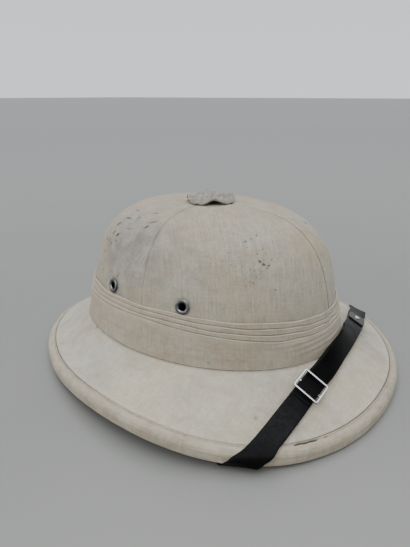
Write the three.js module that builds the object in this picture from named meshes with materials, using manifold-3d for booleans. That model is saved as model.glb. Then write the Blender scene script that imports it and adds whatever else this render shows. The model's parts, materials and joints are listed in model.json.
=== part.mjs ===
import * as THREE from 'three';
import { mergeVertices } from 'three/addons/utils/BufferGeometryUtils.js';
import Module from 'manifold-3d';

// A cloth-covered pith helmet that rests on its brim, with its chin strap pulled up over the front.
// Millimetres. +Z is up, +X is the front and +Y the wearer's left.
// The origin is the middle of the helmet's length and width, on the surface that it rests on.

// Crown, measured to the outside of its cloth
const CROWN_X = 2;
const CROWN_HALF_LENGTH = 115.5;
const CROWN_HALF_WIDTH = 93.1;
const CROWN_RISE = 99.4;
const CROWN_TAPER = 0.114;
const CROWN_SQUARENESS = 3.92;
const FOOT_HEIGHT = 39.7;
const FOOT_TILT = -1.26;
const FOOT_TILT_FADE = 1.6;
const SHELL_ROWS = [0.17, 0.34, 0.5, 0.64, 0.76, 0.86, 0.93, 0.972, 0.994, 0.99997];
const LINING_ROWS = [0.2, 0.42, 0.63, 0.81, 0.92, 0.98, 0.99997];

// Brim, measured from the middle of the crown
const BRIM_FRONT = 164;
const BRIM_BACK = 168;
const BRIM_HALF_WIDTH = 141.2;
const BRIM_SQUARENESS = 2.107;
const BRIM_FORWARD_FLARE = 0.146;
const BRIM_EDGE_SLOPE = 0.409;
const BRIM_FOOT_OFFSET = 3.5;
const RIM_HEIGHT = 9;
const SIDE_LIFT = 11.4;
const SIDE_LIFT_FORWARD = 0.19;
const REST_FLATTENING = 0.12;
const BINDING_WIDTH = 6.9;

// Walls and clearances
const CLOTH = 1;
const SHELL = 4;
const GAP = 0.3;
const SEAM_GAP = 0.3;

// Pugaree, the cloth wound round the foot of the crown
const BAND_HEIGHT = 19.5;
const BAND_SIDE_RISE = 7.8;
const PUGAREE_HEIGHT = 31;
const PUGAREE_SIDE_RISE = 5.6;
const PLEATS = 3;
const BAND_PROUD = { bottom: 3.5, top: 3.0 };
const PLEAT_PROUD = [
  { name: 'pugaree_pleat_lower', bottom: 2.7, top: 2.4 },
  { name: 'pugaree_pleat_middle', bottom: 2.1, top: 1.8 },
  { name: 'pugaree_pleat_upper', bottom: 1.6, top: 1.3 },
];

// Vent eyelets, two on each side of the crown
const EYELET_HEIGHT = 41.8;
const EYELET_ANGLE = 18.6;
const EYELET_RADIUS = 5.5;
const EYELET_HOLE_RADIUS = 2.8;
const EYELET_BARREL_RADIUS = 3.7;
const EYELET_LIP = 1.1;

// Ventilator cap on the top of the crown
const CAP_RADIUS = 20.2;
const CAP_LOBE = 0.8;
const CAP_RISE = 6.2;
const CAP_ARCH = 3.0;
const CAP_STEM_RADIUS = 5.5;

// Chin strap and its slide buckle
const STRAP_WIDTH = 16;
const STRAP_THICKNESS = 1.5;
const STRAP_LIFT = 0.8;
const STRAP_STEPS = 84;
const BUCKLE = { width: 20.4, length: 18.5, bar: 1.6, lift: 0.9, angle: -22.8 };
const TAB = { width: 15.6, length: 26, thickness: 1.6, angle: 36 };
const SECOND_LAYER_PAST_BUCKLE = 12.5;
const SECOND_LAYER_PAST_TAB = 12.5;
const RIVET_RADIUS = 2.6;
const RIVET_SHANK = 1.2;
const ANCHOR_RADIUS = 4.5;
const ANCHOR_SHANK = 2;

// The strap's way, from the anchor on the wearer's right to the one on the left. The column along is
// the height on the wall, the share of the brim's width under and on the brim, and, on the rim, the
// place on the round of its edge. The lift is over the strap's own clearance, and the lean turns it
// up against the foot of the crown, in degrees.
const STRAP_WAY = [
  { on: 'wall', angle: -75, along: 24, lift: 1, lean: 0 },
  { on: 'wall', angle: -72.5, along: 12, lift: 1.1, lean: 0 },
  { on: 'corner', angle: -68, along: 0, lift: 1.5, lean: 0 },
  { on: 'under', angle: -62, along: 0.25, lift: 1, lean: 0 },
  { on: 'under', angle: -55, along: 0.55, lift: 0.8, lean: 0 },
  { on: 'rim', angle: -48.5, along: 4, lift: 0.8, lean: 0 },
  { on: 'rim', angle: -45.7, along: 3, lift: 1.1, lean: 0 },
  { on: 'rim', angle: -44.2, along: 2, lift: 1.1, lean: 0 },
  { on: 'rim', angle: -42.6, along: 1, lift: 1.6, lean: 0 },
  { on: 'rim', angle: -41.3, along: 0, lift: 1.6, lean: 0 },
  { on: 'brim', angle: -37.5, along: 0.8, lift: 0.8, lean: 0 },
  { on: 'brim', angle: -31.5, along: 0.52, lift: 0.4, lean: 0 },
  { on: 'brim', angle: -21.5, along: 0.25, lift: 0.4, lean: 0 },
  { on: 'brim', angle: -15, along: 0.16, lift: 0.4, lean: 2 },
  { on: 'brim', angle: -9, along: 0.085, lift: 0.4, lean: 8 },
  { on: 'brim', angle: -3, along: 0.035, lift: 0.5, lean: 15 },
  { on: 'brim', angle: 4, along: 0.018, lift: 0.5, lean: 19 },
  { on: 'brim', angle: 11, along: 0.032, lift: 0.5, lean: 17 },
  { on: 'brim', angle: 18, along: 0.08, lift: 0.4, lean: 9 },
  { on: 'brim', angle: 25, along: 0.165, lift: 0.4, lean: 3 },
  { on: 'brim', angle: 33, along: 0.32, lift: 0.4, lean: 0 },
  { on: 'brim', angle: 41.5, along: 0.54, lift: 0.4, lean: 0 },
  { on: 'brim', angle: 48, along: 0.81, lift: 0.8, lean: 0 },
  { on: 'rim', angle: 51.7, along: 0, lift: 1.2, lean: 0 },
  { on: 'rim', angle: 53, along: 1, lift: 1.1, lean: 0 },
  { on: 'rim', angle: 54.7, along: 2, lift: 1.1, lean: 0 },
  { on: 'rim', angle: 56.3, along: 3, lift: 1.7, lean: 0 },
  { on: 'rim', angle: 59.5, along: 4, lift: 0.8, lean: 0 },
  { on: 'under', angle: 65, along: 0.55, lift: 0.8, lean: 0 },
  { on: 'under', angle: 71, along: 0.25, lift: 1, lean: 0 },
  { on: 'corner', angle: 75, along: 0, lift: 1.5, lean: 0 },
  { on: 'wall', angle: 78.5, along: 12, lift: 1.1, lean: 0 },
  { on: 'wall', angle: 80, along: 24, lift: 1, lean: 0 },
];

// Outside of the rim's round, from the top to the underside, and which way each place faces
const RIM_ROUND = [
  { inset: 1.6, rise: 0.4, facing: 60 },
  { inset: 0, rise: -2.4, facing: 8 },
  { inset: 0, rise: -6.6, facing: -8 },
  { inset: 2.4, rise: -9, facing: -75 },
  { inset: 9.5, rise: -9, facing: -100 },
];

const TURNS = 40;
const UP = new THREE.Vector3(0, 0, 1);

const rad = THREE.MathUtils.degToRad;
const lerp = THREE.MathUtils.lerp;

const wasm = await Module();
wasm.setup();

const CLOTH_COLOUR = 0xb9b2a3;
const crownCloth = new THREE.MeshStandardMaterial({ color: 0xaca596, roughness: 0.95 });
const brimCloth = new THREE.MeshStandardMaterial({ color: CLOTH_COLOUR, roughness: 0.95 });
const bandCloth = new THREE.MeshStandardMaterial({ color: 0xada292, roughness: 0.95 });
const pith = new THREE.MeshStandardMaterial({ color: 0xcfc3a6, roughness: 1 });
const leather = new THREE.MeshStandardMaterial({ color: 0x17171a, roughness: 0.45 });
const polishedSteel = new THREE.MeshStandardMaterial({ color: 0xc9cacb, roughness: 0.2, metalness: 1 });
const darkNickel = new THREE.MeshStandardMaterial({ color: 0x6c6f72, roughness: 0.3, metalness: 1 });

// Surfaces. An angle of 0 is the front, 90 the wearer's left.

function crownAt(angle, height, offset) {
  const rise = CROWN_RISE + offset;
  const level = Math.min(height / rise, 1);
  const fullness = Math.pow(1 - Math.pow(Math.max(level, 0), CROWN_SQUARENESS), 1 / CROWN_SQUARENESS);
  const reach = (1 - CROWN_TAPER * level) * fullness;
  const tilt = FOOT_TILT * Math.cos(angle) * THREE.MathUtils.clamp(1 - FOOT_TILT_FADE * level, 0, 1);
  return new THREE.Vector3(
    CROWN_X + (CROWN_HALF_LENGTH + offset) * reach * Math.cos(angle),
    (CROWN_HALF_WIDTH + offset) * reach * Math.sin(angle),
    FOOT_HEIGHT + height + tilt,
  );
}

function crownRow(angle, level, offset) {
  return crownAt(angle, level * (CROWN_RISE + offset), offset);
}

function footAt(angle, offset, rise) {
  const point = crownAt(angle, 0, offset);
  point.z += rise;
  return point;
}

function edgeAt(angle) {
  const cos = Math.cos(angle);
  const sin = Math.sin(angle);
  const halfLength = cos > 0 ? BRIM_FRONT : BRIM_BACK;
  const along = Math.pow(Math.abs(cos) / halfLength, BRIM_SQUARENESS);
  const across = Math.pow(Math.abs(sin) / BRIM_HALF_WIDTH, BRIM_SQUARENESS);
  const reach = Math.pow(along + across, -1 / BRIM_SQUARENESS);
  const lift = SIDE_LIFT * Math.pow(Math.sin(angle + SIDE_LIFT_FORWARD * sin), 4);
  return new THREE.Vector3(
    CROWN_X + reach * cos,
    reach * sin * (1 + BRIM_FORWARD_FLARE * cos),
    RIM_HEIGHT + Math.max(0, lift - REST_FLATTENING),
  );
}

function brimWidth(angle) {
  const foot = footAt(angle, BRIM_FOOT_OFFSET, 0);
  const edge = edgeAt(angle);
  return Math.hypot(edge.x - foot.x, edge.y - foot.y);
}

function brimSurface(angle, across) {
  const foot = footAt(angle, BRIM_FOOT_OFFSET, 0);
  const edge = edgeAt(angle);
  const sag = foot.z - edge.z - BRIM_EDGE_SLOPE * brimWidth(angle);
  const point = foot.lerp(edge, across);
  point.z -= sag * across * (1 - across);
  return point;
}

function normalOf(surface, u, v) {
  const step = 0.001;
  const alongU = surface(u + step, v).sub(surface(u - step, v));
  const alongV = surface(u, v + step).sub(surface(u, v - step));
  const normal = alongU.cross(alongV).normalize();
  return normal.z < 0 ? normal.negate() : normal;
}

function brimAt(angle, across, offset) {
  const point = brimSurface(angle, across);
  return point.addScaledVector(normalOf(brimSurface, angle, across), offset);
}

function rimAt(angle, inset, rise) {
  const point = brimSurface(angle, 1 - inset / brimWidth(angle));
  point.z = edgeAt(angle).z + rise;
  return point;
}

function bindingEdgeAt(angle, inset, offset) {
  return brimAt(angle, 1 - inset / brimWidth(angle), offset);
}

// Solids from sections and grids

function closedSolid(points, triangles) {
  let volume = 0;
  for (const [a, b, c] of triangles) {
    volume += points[a].dot(points[b].clone().cross(points[c]));
  }
  const geometry = new THREE.BufferGeometry().setFromPoints(points);
  geometry.setIndex(triangles.flatMap(([a, b, c]) => (volume > 0 ? [a, b, c] : [a, c, b])));
  return geometry;
}

// Two triangles that share the shorter diagonal, so that surfaces laid on each other fold alike
function quad(points, a, b, c, d) {
  const shorter = points[a].distanceTo(points[c]) < points[b].distanceTo(points[d]);
  return shorter ? [[a, b, c], [a, c, d]] : [[a, b, d], [b, c, d]];
}

function ringSolid(sectionAt) {
  const sections = [];
  for (let turn = 0; turn < TURNS; turn += 1) {
    sections.push(sectionAt((turn / TURNS) * 2 * Math.PI));
  }
  const rows = sections[0].length;
  const points = sections.flat();
  const triangles = [];
  for (let turn = 0; turn < TURNS; turn += 1) {
    const here = turn * rows;
    const next = ((turn + 1) % TURNS) * rows;
    for (let row = 0; row < rows; row += 1) {
      const after = (row + 1) % rows;
      triangles.push(...quad(points, here + row, next + row, next + after, here + after));
    }
  }
  return closedSolid(points, triangles);
}

function sheetSolid(outer, inner) {
  const rows = outer.length;
  const columns = outer[0].length;
  const points = [...outer.flat(), ...inner.flat()];
  const lower = rows * columns;
  const triangles = [];
  const addQuad = (...corners) => triangles.push(...quad(points, ...corners));
  const at = (row, column) => row * columns + column;
  for (let row = 0; row < rows - 1; row += 1) {
    for (let column = 0; column < columns - 1; column += 1) {
      const corners = [at(row, column), at(row, column + 1), at(row + 1, column + 1), at(row + 1, column)];
      addQuad(...corners);
      addQuad(...corners.map((corner) => corner + lower).reverse());
    }
  }
  for (let column = 0; column < columns - 1; column += 1) {
    addQuad(at(0, column + 1), at(0, column), lower + at(0, column), lower + at(0, column + 1));
    const last = rows - 1;
    addQuad(at(last, column), at(last, column + 1), lower + at(last, column + 1), lower + at(last, column));
  }
  for (let row = 0; row < rows - 1; row += 1) {
    addQuad(at(row, 0), at(row + 1, 0), lower + at(row + 1, 0), lower + at(row, 0));
    const last = columns - 1;
    addQuad(at(row + 1, last), at(row, last), lower + at(row, last), lower + at(row + 1, last));
  }
  return closedSolid(points, triangles);
}

function toManifold(geometry) {
  const bare = geometry.clone();
  bare.deleteAttribute('normal');
  bare.deleteAttribute('uv');
  const merged = mergeVertices(bare, 1e-4);
  return new wasm.Manifold(new wasm.Mesh({
    numProp: 3,
    vertProperties: new Float32Array(merged.attributes.position.array),
    triVerts: new Uint32Array(merged.index.array),
  }));
}

function fromManifold(solid) {
  const mesh = solid.getMesh();
  const geometry = new THREE.BufferGeometry();
  geometry.setAttribute('position', new THREE.BufferAttribute(new Float32Array(mesh.vertProperties), 3));
  geometry.setIndex(Array.from(mesh.triVerts));
  return geometry;
}

function cut(geometry, tools) {
  return fromManifold(tools.reduce((solid, tool) => solid.subtract(toManifold(tool)), toManifold(geometry)));
}

function join(geometries) {
  return fromManifold(geometries.map(toManifold).reduce((whole, piece) => whole.add(piece)));
}

// A place with axes: x along, y across and z away from the surface that carries it
function frameAt(origin, along, normal) {
  const across = new THREE.Vector3().crossVectors(normal, along).normalize();
  const ahead = new THREE.Vector3().crossVectors(across, normal).normalize();
  return new THREE.Matrix4().makeBasis(ahead, across, normal).setPosition(origin);
}

function lathe(profile, sides) {
  const points = profile.map(([radius, height]) => new THREE.Vector2(radius, height));
  return new THREE.LatheGeometry(points, sides).rotateX(Math.PI / 2);
}

function pin(radius, from, to, sides) {
  return lathe([[0, from], [radius, from], [radius, to], [0, to]], sides);
}

// Crown and brim

function shellSection(angle) {
  const outside = -CLOTH - GAP;
  const inside = outside - SHELL;
  return [
    ...SHELL_ROWS.map((level) => crownRow(angle, level, outside)).reverse(),
    footAt(angle, outside, outside),
    footAt(angle, BRIM_FOOT_OFFSET - 0.4, outside),
    brimAt(angle, 0.25, outside),
    brimAt(angle, 0.5, outside),
    brimAt(angle, 0.75, outside),
    bindingEdgeAt(angle, BINDING_WIDTH, outside),
    bindingEdgeAt(angle, 2.6, outside),
    rimAt(angle, CLOTH + GAP, -2.7),
    rimAt(angle, CLOTH + GAP, -6.6),
    rimAt(angle, 2.8, CLOTH + GAP - RIM_HEIGHT),
    rimAt(angle, BINDING_WIDTH + 1.2, CLOTH + GAP - RIM_HEIGHT),
    brimAt(angle, 0.7, inside),
    brimAt(angle, 0.45, inside),
    brimAt(angle, 0.2, inside),
    footAt(angle, inside, inside + 0.4),
    ...LINING_ROWS.map((level) => crownRow(angle, level, inside)),
  ];
}

function crownPanel(startAngle) {
  const start = rad(startAngle);
  const columns = TURNS / 4;
  const layer = (offset) => [0, ...SHELL_ROWS].map((level) => {
    const row = [];
    for (let column = 0; column <= columns; column += 1) {
      const angle = start + (column / columns) * (Math.PI / 2);
      const point = level === 0 ? footAt(angle, offset, -CLOTH) : crownRow(angle, level, offset);
      const inward = (column === 0 ? 1 : 0) - (column === columns ? 1 : 0);
      point.x -= inward * Math.sin(angle) * (SEAM_GAP / 2);
      point.y += inward * Math.cos(angle) * (SEAM_GAP / 2);
      row.push(point);
    }
    return row;
  });
  return sheetSolid(layer(0), layer(-CLOTH));
}

function brimCoverSection(angle) {
  const edge = BINDING_WIDTH + GAP;
  const top = [0.25, 0.5, 0.75].map((across) => brimAt(angle, across, 0));
  const under = [0.75, 0.5, 0.25].map((across) => brimAt(angle, across, -CLOTH));
  return [
    footAt(angle, GAP, 0),
    footAt(angle, BRIM_FOOT_OFFSET, 0),
    ...top,
    bindingEdgeAt(angle, edge, 0),
    bindingEdgeAt(angle, edge, -CLOTH),
    ...under,
    footAt(angle, BRIM_FOOT_OFFSET - 0.3, -CLOTH),
    footAt(angle, GAP, -CLOTH),
  ];
}

function brimBindingSection(angle) {
  return [
    bindingEdgeAt(angle, BINDING_WIDTH, 0),
    bindingEdgeAt(angle, 1.8, -0.1),
    rimAt(angle, 0, -2),
    rimAt(angle, 0, -7),
    rimAt(angle, 1.8, -RIM_HEIGHT),
    rimAt(angle, BINDING_WIDTH, -RIM_HEIGHT),
    rimAt(angle, BINDING_WIDTH, CLOTH - RIM_HEIGHT),
    rimAt(angle, 2.5, CLOTH - RIM_HEIGHT),
    rimAt(angle, CLOTH, -6.7),
    rimAt(angle, CLOTH, -2.5),
    bindingEdgeAt(angle, 2.4, -CLOTH),
    bindingEdgeAt(angle, BINDING_WIDTH, -CLOTH),
  ];
}

// Pugaree

function bandTop(angle) {
  return BAND_HEIGHT + BAND_SIDE_RISE * Math.pow(Math.sin(angle), 4);
}

function pleatEdge(angle, pleat) {
  const top = PUGAREE_HEIGHT + PUGAREE_SIDE_RISE * Math.pow(Math.sin(angle), 2);
  return lerp(bandTop(angle), top, pleat / PLEATS);
}

function woundSection(angle, low, high, proud) {
  return [
    crownAt(angle, low, GAP),
    crownAt(angle, low, proud.bottom),
    crownAt(angle, high, proud.top),
    crownAt(angle, high, GAP),
  ];
}

function pugareeBandSection(angle) {
  return woundSection(angle, GAP, bandTop(angle), BAND_PROUD);
}

function pleatSection(angle, pleat) {
  return woundSection(angle, pleatEdge(angle, pleat) + GAP, pleatEdge(angle, pleat + 1), PLEAT_PROUD[pleat]);
}

// Vent eyelets

function eyeletFrame(side, way) {
  const angle = rad(side * 90 + way * EYELET_ANGLE);
  const surface = (turn, height) => crownAt(turn, height, 0);
  const normal = normalOf(surface, angle, EYELET_HEIGHT);
  return frameAt(surface(angle, EYELET_HEIGHT), UP, normal);
}

function ventEyelet(frame) {
  const wall = CLOTH + GAP + SHELL;
  return lathe([
    [EYELET_HOLE_RADIUS, -wall - 0.4],
    [EYELET_BARREL_RADIUS, -wall - 0.4],
    [EYELET_BARREL_RADIUS, GAP],
    [EYELET_RADIUS, GAP],
    [EYELET_RADIUS - 0.5, EYELET_LIP],
    [EYELET_HOLE_RADIUS + 0.7, EYELET_LIP + 0.2],
    [EYELET_HOLE_RADIUS, EYELET_LIP - 0.3],
    [EYELET_HOLE_RADIUS, -wall - 0.4],
  ], 14).applyMatrix4(frame);
}

function eyeletDrill(frame) {
  return pin(EYELET_BARREL_RADIUS + GAP, -12, 6, 12).applyMatrix4(frame);
}

// Ventilator cap: four lobes rest on the crown over its seams, with arched openings between them

function ventilatorCap() {
  const profile = [
    [0, -6], [CAP_STEM_RADIUS, -6], [CAP_STEM_RADIUS, 2.4], [12, 2.2], [17, 1.2], [CAP_RADIUS - 1.6, GAP],
    [CAP_RADIUS, GAP + 0.1], [CAP_RADIUS + 0.2, 1.6], [17.5, 4.1], [12, CAP_RISE - 0.9], [5.5, CAP_RISE],
    [0, CAP_RISE + 0.1],
  ];
  const geometry = lathe(profile, 24);
  const place = geometry.attributes.position;
  for (let index = 0; index < place.count; index += 1) {
    const x = place.getX(index);
    const y = place.getY(index);
    const reach = Math.hypot(x, y);
    const turn = Math.atan2(y, x);
    const skirt = THREE.MathUtils.smoothstep(reach, CAP_STEM_RADIUS, CAP_RADIUS);
    const opening = (1 - Math.cos(4 * turn)) / 2;
    const spread = 1 + (CAP_LOBE / CAP_RADIUS) * Math.cos(4 * turn) * skirt;
    const arch = CAP_ARCH * opening * skirt * (place.getZ(index) < 2 ? 1 : 0.45);
    place.setXYZ(index, x * spread, y * spread, place.getZ(index) + arch);
  }
  return geometry.translate(CROWN_X, 0, FOOT_HEIGHT + CROWN_RISE);
}

// Chin strap

function liningAt(angle, height) {
  return crownAt(angle, height, -CLOTH - GAP - SHELL);
}

function outwardAt(angle) {
  return rimAt(angle, 0, 0).sub(rimAt(angle, 5, 0)).setZ(0).normalize();
}

function brimSeat(angle, row) {
  const lean = rad(row.lean);
  const normal = normalOf(brimSurface, angle, row.along);
  const uphill = brimSurface(angle, row.along - 0.01).sub(brimSurface(angle, row.along + 0.01)).normalize();
  const place = brimAt(angle, row.along, (STRAP_WIDTH / 2) * Math.sin(lean));
  return { place, normal: normal.multiplyScalar(Math.cos(lean)).addScaledVector(uphill, -Math.sin(lean)) };
}

function rimSeat(angle, row) {
  const round = RIM_ROUND[row.along];
  const facing = rad(round.facing);
  const normal = outwardAt(angle).multiplyScalar(Math.cos(facing)).addScaledVector(UP, Math.sin(facing));
  return { place: rimAt(angle, round.inset, round.rise), normal };
}

function strapSeat(row) {
  const angle = rad(row.angle);
  const inside = -CLOTH - GAP - SHELL;
  switch (row.on) {
    case 'brim':
      return brimSeat(angle, row);
    case 'rim':
      return rimSeat(angle, row);
    case 'under':
      return { place: brimAt(angle, row.along, inside), normal: normalOf(brimSurface, angle, row.along).negate() };
    case 'corner':
      return { place: footAt(angle, inside, inside), normal: outwardAt(angle).add(UP).normalize().negate() };
    default:
      return { place: liningAt(angle, row.along), normal: outwardAt(angle).negate() };
  }
}

const strapSeats = STRAP_WAY.map(strapSeat);
const strapNormals = new THREE.CatmullRomCurve3(strapSeats.map((seat) => seat.normal));
const strapCurve = new THREE.CatmullRomCurve3(
  strapSeats.map((seat, index) => (
    seat.place.clone().addScaledVector(seat.normal, STRAP_LIFT + STRAP_WAY[index].lift)
  )),
  false,
  'centripetal',
);
strapCurve.arcLengthDivisions = 600;

function frameOnStrap(t, lift) {
  const along = strapCurve.getTangent(t);
  const normal = strapNormals.getPoint(t);
  normal.addScaledVector(along, -normal.dot(along)).normalize();
  return frameAt(strapCurve.getPoint(t).addScaledVector(normal, lift), along, normal);
}

function strapFrame(share, lift) {
  return frameOnStrap(strapCurve.getUtoTmapping(share), lift);
}

// Where the strap bends over the rim and the inner corner, its folds lie along them and so run
// slantwise across it. The slant is the fold's run along the strap for each millimetre across it.
const strapSlants = STRAP_WAY.map((row, index) => {
  if (row.on === 'brim' || row.on === 'wall') return 0;
  const step = 0.5;
  const ahead = strapSeat({ ...row, angle: row.angle + step }).place;
  const fold = ahead.sub(strapSeat({ ...row, angle: row.angle - step }).place);
  const frame = frameOnStrap(index / (STRAP_WAY.length - 1), 0);
  const [along, across] = [new THREE.Vector3(), new THREE.Vector3()];
  frame.extractBasis(along, across, new THREE.Vector3());
  return fold.dot(along) / fold.dot(across);
});

function slantAt(share) {
  const place = strapCurve.getUtoTmapping(share) * (STRAP_WAY.length - 1);
  const row = Math.min(Math.floor(place), STRAP_WAY.length - 2);
  return lerp(strapSlants[row], strapSlants[row + 1], place - row);
}

function ribbon(stations, width, thickness) {
  const half = width / 2;
  const corners = [[-half, 0], [half, 0], [half, thickness], [-half, thickness]];
  const points = stations.flatMap(({ frame, slant }) => corners.map(([across, up]) => (
    new THREE.Vector3(across * slant, across, up).applyMatrix4(frame)
  )));
  const triangles = [[0, 1, 2], [0, 2, 3]];
  for (let step = 0; step < stations.length - 1; step += 1) {
    for (let corner = 0; corner < 4; corner += 1) {
      const here = step * 4 + corner;
      const beside = step * 4 + ((corner + 1) % 4);
      triangles.push(...quad(points, here, here + 4, beside + 4, beside));
    }
  }
  const last = (stations.length - 1) * 4;
  triangles.push([last, last + 2, last + 1], [last, last + 3, last + 2]);
  return closedSolid(points, triangles);
}

// Layers that lie on each other share the strap's own steps, and have one more at each of their ends
function stationsBetween(from, to, liftAt) {
  const shares = [from];
  for (let step = Math.floor(from * STRAP_STEPS) + 1; step / STRAP_STEPS < to; step += 1) {
    shares.push(step / STRAP_STEPS);
  }
  shares.push(to);
  return shares.map((share) => ({ frame: strapFrame(share, liftAt(share)), slant: slantAt(share) }));
}

const strapLength = strapCurve.getLength();
const secondLayer = STRAP_THICKNESS + GAP;

// The share of the strap's length at which it passes a direction from the middle of the crown
function shareAtAngle(degrees) {
  let low = 0.25;
  let high = 0.75;
  for (let pass = 0; pass < 30; pass += 1) {
    const middle = (low + high) / 2;
    const point = strapCurve.getPointAt(middle);
    if (Math.atan2(point.y, point.x - CROWN_X) < rad(degrees)) low = middle;
    else high = middle;
  }
  return low;
}

const buckleShare = shareAtAngle(BUCKLE.angle);
const tabShare = shareAtAngle(TAB.angle);

// The second layer rises over the buckle's middle bar
function secondLayerLift(share) {
  const away = Math.abs(share - buckleShare) * strapLength;
  return secondLayer + 1.3 * (1 - THREE.MathUtils.smoothstep(away, 1.5, 7.5));
}

const tabRivetFrame = strapFrame(tabShare, 0);
const anchorFrames = [strapFrame(0.012, 0), strapFrame(0.988, 0)];

function rivetHole(frame, radius) {
  return pin(radius + GAP, -6, 12, 10).applyMatrix4(frame);
}

function chinStrap() {
  const body = ribbon(stationsBetween(0, 1, () => 0), STRAP_WIDTH, STRAP_THICKNESS);
  const anchorHoles = anchorFrames.map((frame) => rivetHole(frame, ANCHOR_SHANK));
  return cut(body, [...anchorHoles, rivetHole(tabRivetFrame, RIVET_SHANK)]);
}

function strapSecondLayer() {
  const from = buckleShare - SECOND_LAYER_PAST_BUCKLE / strapLength;
  const to = tabShare + SECOND_LAYER_PAST_TAB / strapLength;
  const stations = stationsBetween(from, to, secondLayerLift);
  return cut(ribbon(stations, STRAP_WIDTH - 0.4, STRAP_THICKNESS), [rivetHole(tabRivetFrame, RIVET_SHANK)]);
}

function strapEndTab() {
  const half = TAB.length / strapLength / 2;
  const stations = stationsBetween(tabShare - half, tabShare + half, () => 2 * secondLayer);
  return cut(ribbon(stations, TAB.width, TAB.thickness), [rivetHole(tabRivetFrame, RIVET_SHANK)]);
}

function strapEndRivet() {
  const seat = 2 * secondLayer + TAB.thickness + 0.2;
  return lathe([
    [0, 0.1], [RIVET_SHANK, 0.1], [RIVET_SHANK, seat], [RIVET_RADIUS, seat],
    [RIVET_RADIUS * 0.8, seat + 0.7], [RIVET_RADIUS * 0.4, seat + 1.1], [0, seat + 1.2],
  ], 12).applyMatrix4(tabRivetFrame);
}

function slideBuckle() {
  const { width, length, bar } = BUCKLE;
  const outline = new THREE.Shape();
  outline.moveTo(-length / 2, -width / 2);
  outline.lineTo(length / 2, -width / 2);
  outline.lineTo(length / 2, width / 2);
  outline.lineTo(-length / 2, width / 2);
  const window = new THREE.Path();
  window.moveTo(-length / 2 + bar, -width / 2 + bar);
  window.lineTo(-length / 2 + bar, width / 2 - bar);
  window.lineTo(length / 2 - bar, width / 2 - bar);
  window.lineTo(length / 2 - bar, -width / 2 + bar);
  outline.holes.push(window);
  const top = 2 * secondLayer + BUCKLE.lift;
  const frame = new THREE.ExtrudeGeometry(outline, { depth: bar, bevelEnabled: false });
  frame.translate(0, 0, top);
  const middle = new THREE.BoxGeometry(1.6, width, 1);
  middle.translate(0, 0, secondLayer + 0.5);
  const pieces = [frame, middle];
  for (const side of [-1, 1]) {
    const cheek = new THREE.BoxGeometry(3, bar, top + bar - secondLayer);
    cheek.translate(0, side * (width - bar) / 2, (top + bar + secondLayer) / 2);
    pieces.push(cheek);
  }
  return join(pieces).applyMatrix4(strapFrame(buckleShare, 0));
}

// The anchor's shank ends inside the shell's wall, in a blind hole
function strapAnchor(frame) {
  const seat = STRAP_THICKNESS + GAP;
  return lathe([
    [0, -STRAP_LIFT - 2.4], [ANCHOR_SHANK, -STRAP_LIFT - 2.4], [ANCHOR_SHANK, seat], [ANCHOR_RADIUS, seat],
    [ANCHOR_RADIUS * 0.85, seat + 1], [0, seat + 1.4],
  ], 12).applyMatrix4(frame);
}

function anchorHole(frame) {
  return pin(ANCHOR_SHANK + GAP, -STRAP_LIFT - 2.8, 4, 10).applyMatrix4(frame);
}

// Assembly

const helmet = new THREE.Group();
helmet.name = 'pith_helmet';

function addPiece(parent, name, geometry, material) {
  const mesh = new THREE.Mesh(geometry, material);
  mesh.name = name;
  geometry.computeVertexNormals();
  parent.add(mesh);
}

const crown = new THREE.Group();
const brim = new THREE.Group();
const pugaree = new THREE.Group();
const strap = new THREE.Group();
helmet.add(crown, brim, pugaree, strap);

const eyelets = [
  { name: 'right_front', panel: 'right_front', start: -90, frame: eyeletFrame(-1, 1) },
  { name: 'right_back', panel: 'right_back', start: 180, frame: eyeletFrame(-1, -1) },
  { name: 'left_back', panel: 'left_back', start: 90, frame: eyeletFrame(1, 1) },
  { name: 'left_front', panel: 'left_front', start: 0, frame: eyeletFrame(1, -1) },
];
const drills = eyelets.map((eyelet) => eyeletDrill(eyelet.frame));
const shellCuts = [...drills, ...anchorFrames.map(anchorHole)];

addPiece(crown, 'pith_shell', cut(ringSolid(shellSection), shellCuts), pith);
eyelets.forEach((eyelet, index) => {
  addPiece(crown, `crown_panel_${eyelet.panel}`, cut(crownPanel(eyelet.start), [drills[index]]), crownCloth);
  addPiece(crown, `vent_eyelet_${eyelet.name}`, ventEyelet(eyelet.frame), darkNickel);
});
addPiece(crown, 'ventilator_cap', ventilatorCap(), crownCloth);

addPiece(brim, 'brim_cover', ringSolid(brimCoverSection), brimCloth);
addPiece(brim, 'brim_binding', ringSolid(brimBindingSection), brimCloth);

addPiece(pugaree, 'pugaree_band', ringSolid(pugareeBandSection), bandCloth);
PLEAT_PROUD.forEach((pleat, index) => {
  addPiece(pugaree, pleat.name, ringSolid((angle) => pleatSection(angle, index)), bandCloth);
});

addPiece(strap, 'chin_strap', chinStrap(), leather);
addPiece(strap, 'strap_second_layer', strapSecondLayer(), leather);
addPiece(strap, 'strap_end_tab', strapEndTab(), leather);
addPiece(strap, 'strap_end_rivet', strapEndRivet(), polishedSteel);
addPiece(strap, 'slide_buckle', slideBuckle(), polishedSteel);
addPiece(strap, 'strap_anchor_right', strapAnchor(anchorFrames[0]), polishedSteel);
addPiece(strap, 'strap_anchor_left', strapAnchor(anchorFrames[1]), polishedSteel);

export default helmet;
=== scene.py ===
"""Visual model of a cloth-covered pith helmet that rests on its brim, its chin strap pulled up in front.

Sizes are in millimetres and angles in radians unless a name says otherwise. An angle of 0 is the
front of the helmet and 90 degrees the wearer's left. Meshes are written in metres.
"""

from __future__ import annotations

import json
import logging
import math
from dataclasses import dataclass, field, replace
from enum import Enum
from functools import partial, reduce
from typing import Callable, Iterable, Optional, Sequence, Union

import bmesh
import bpy
import numpy as np
from mathutils import Matrix, Vector

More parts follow.
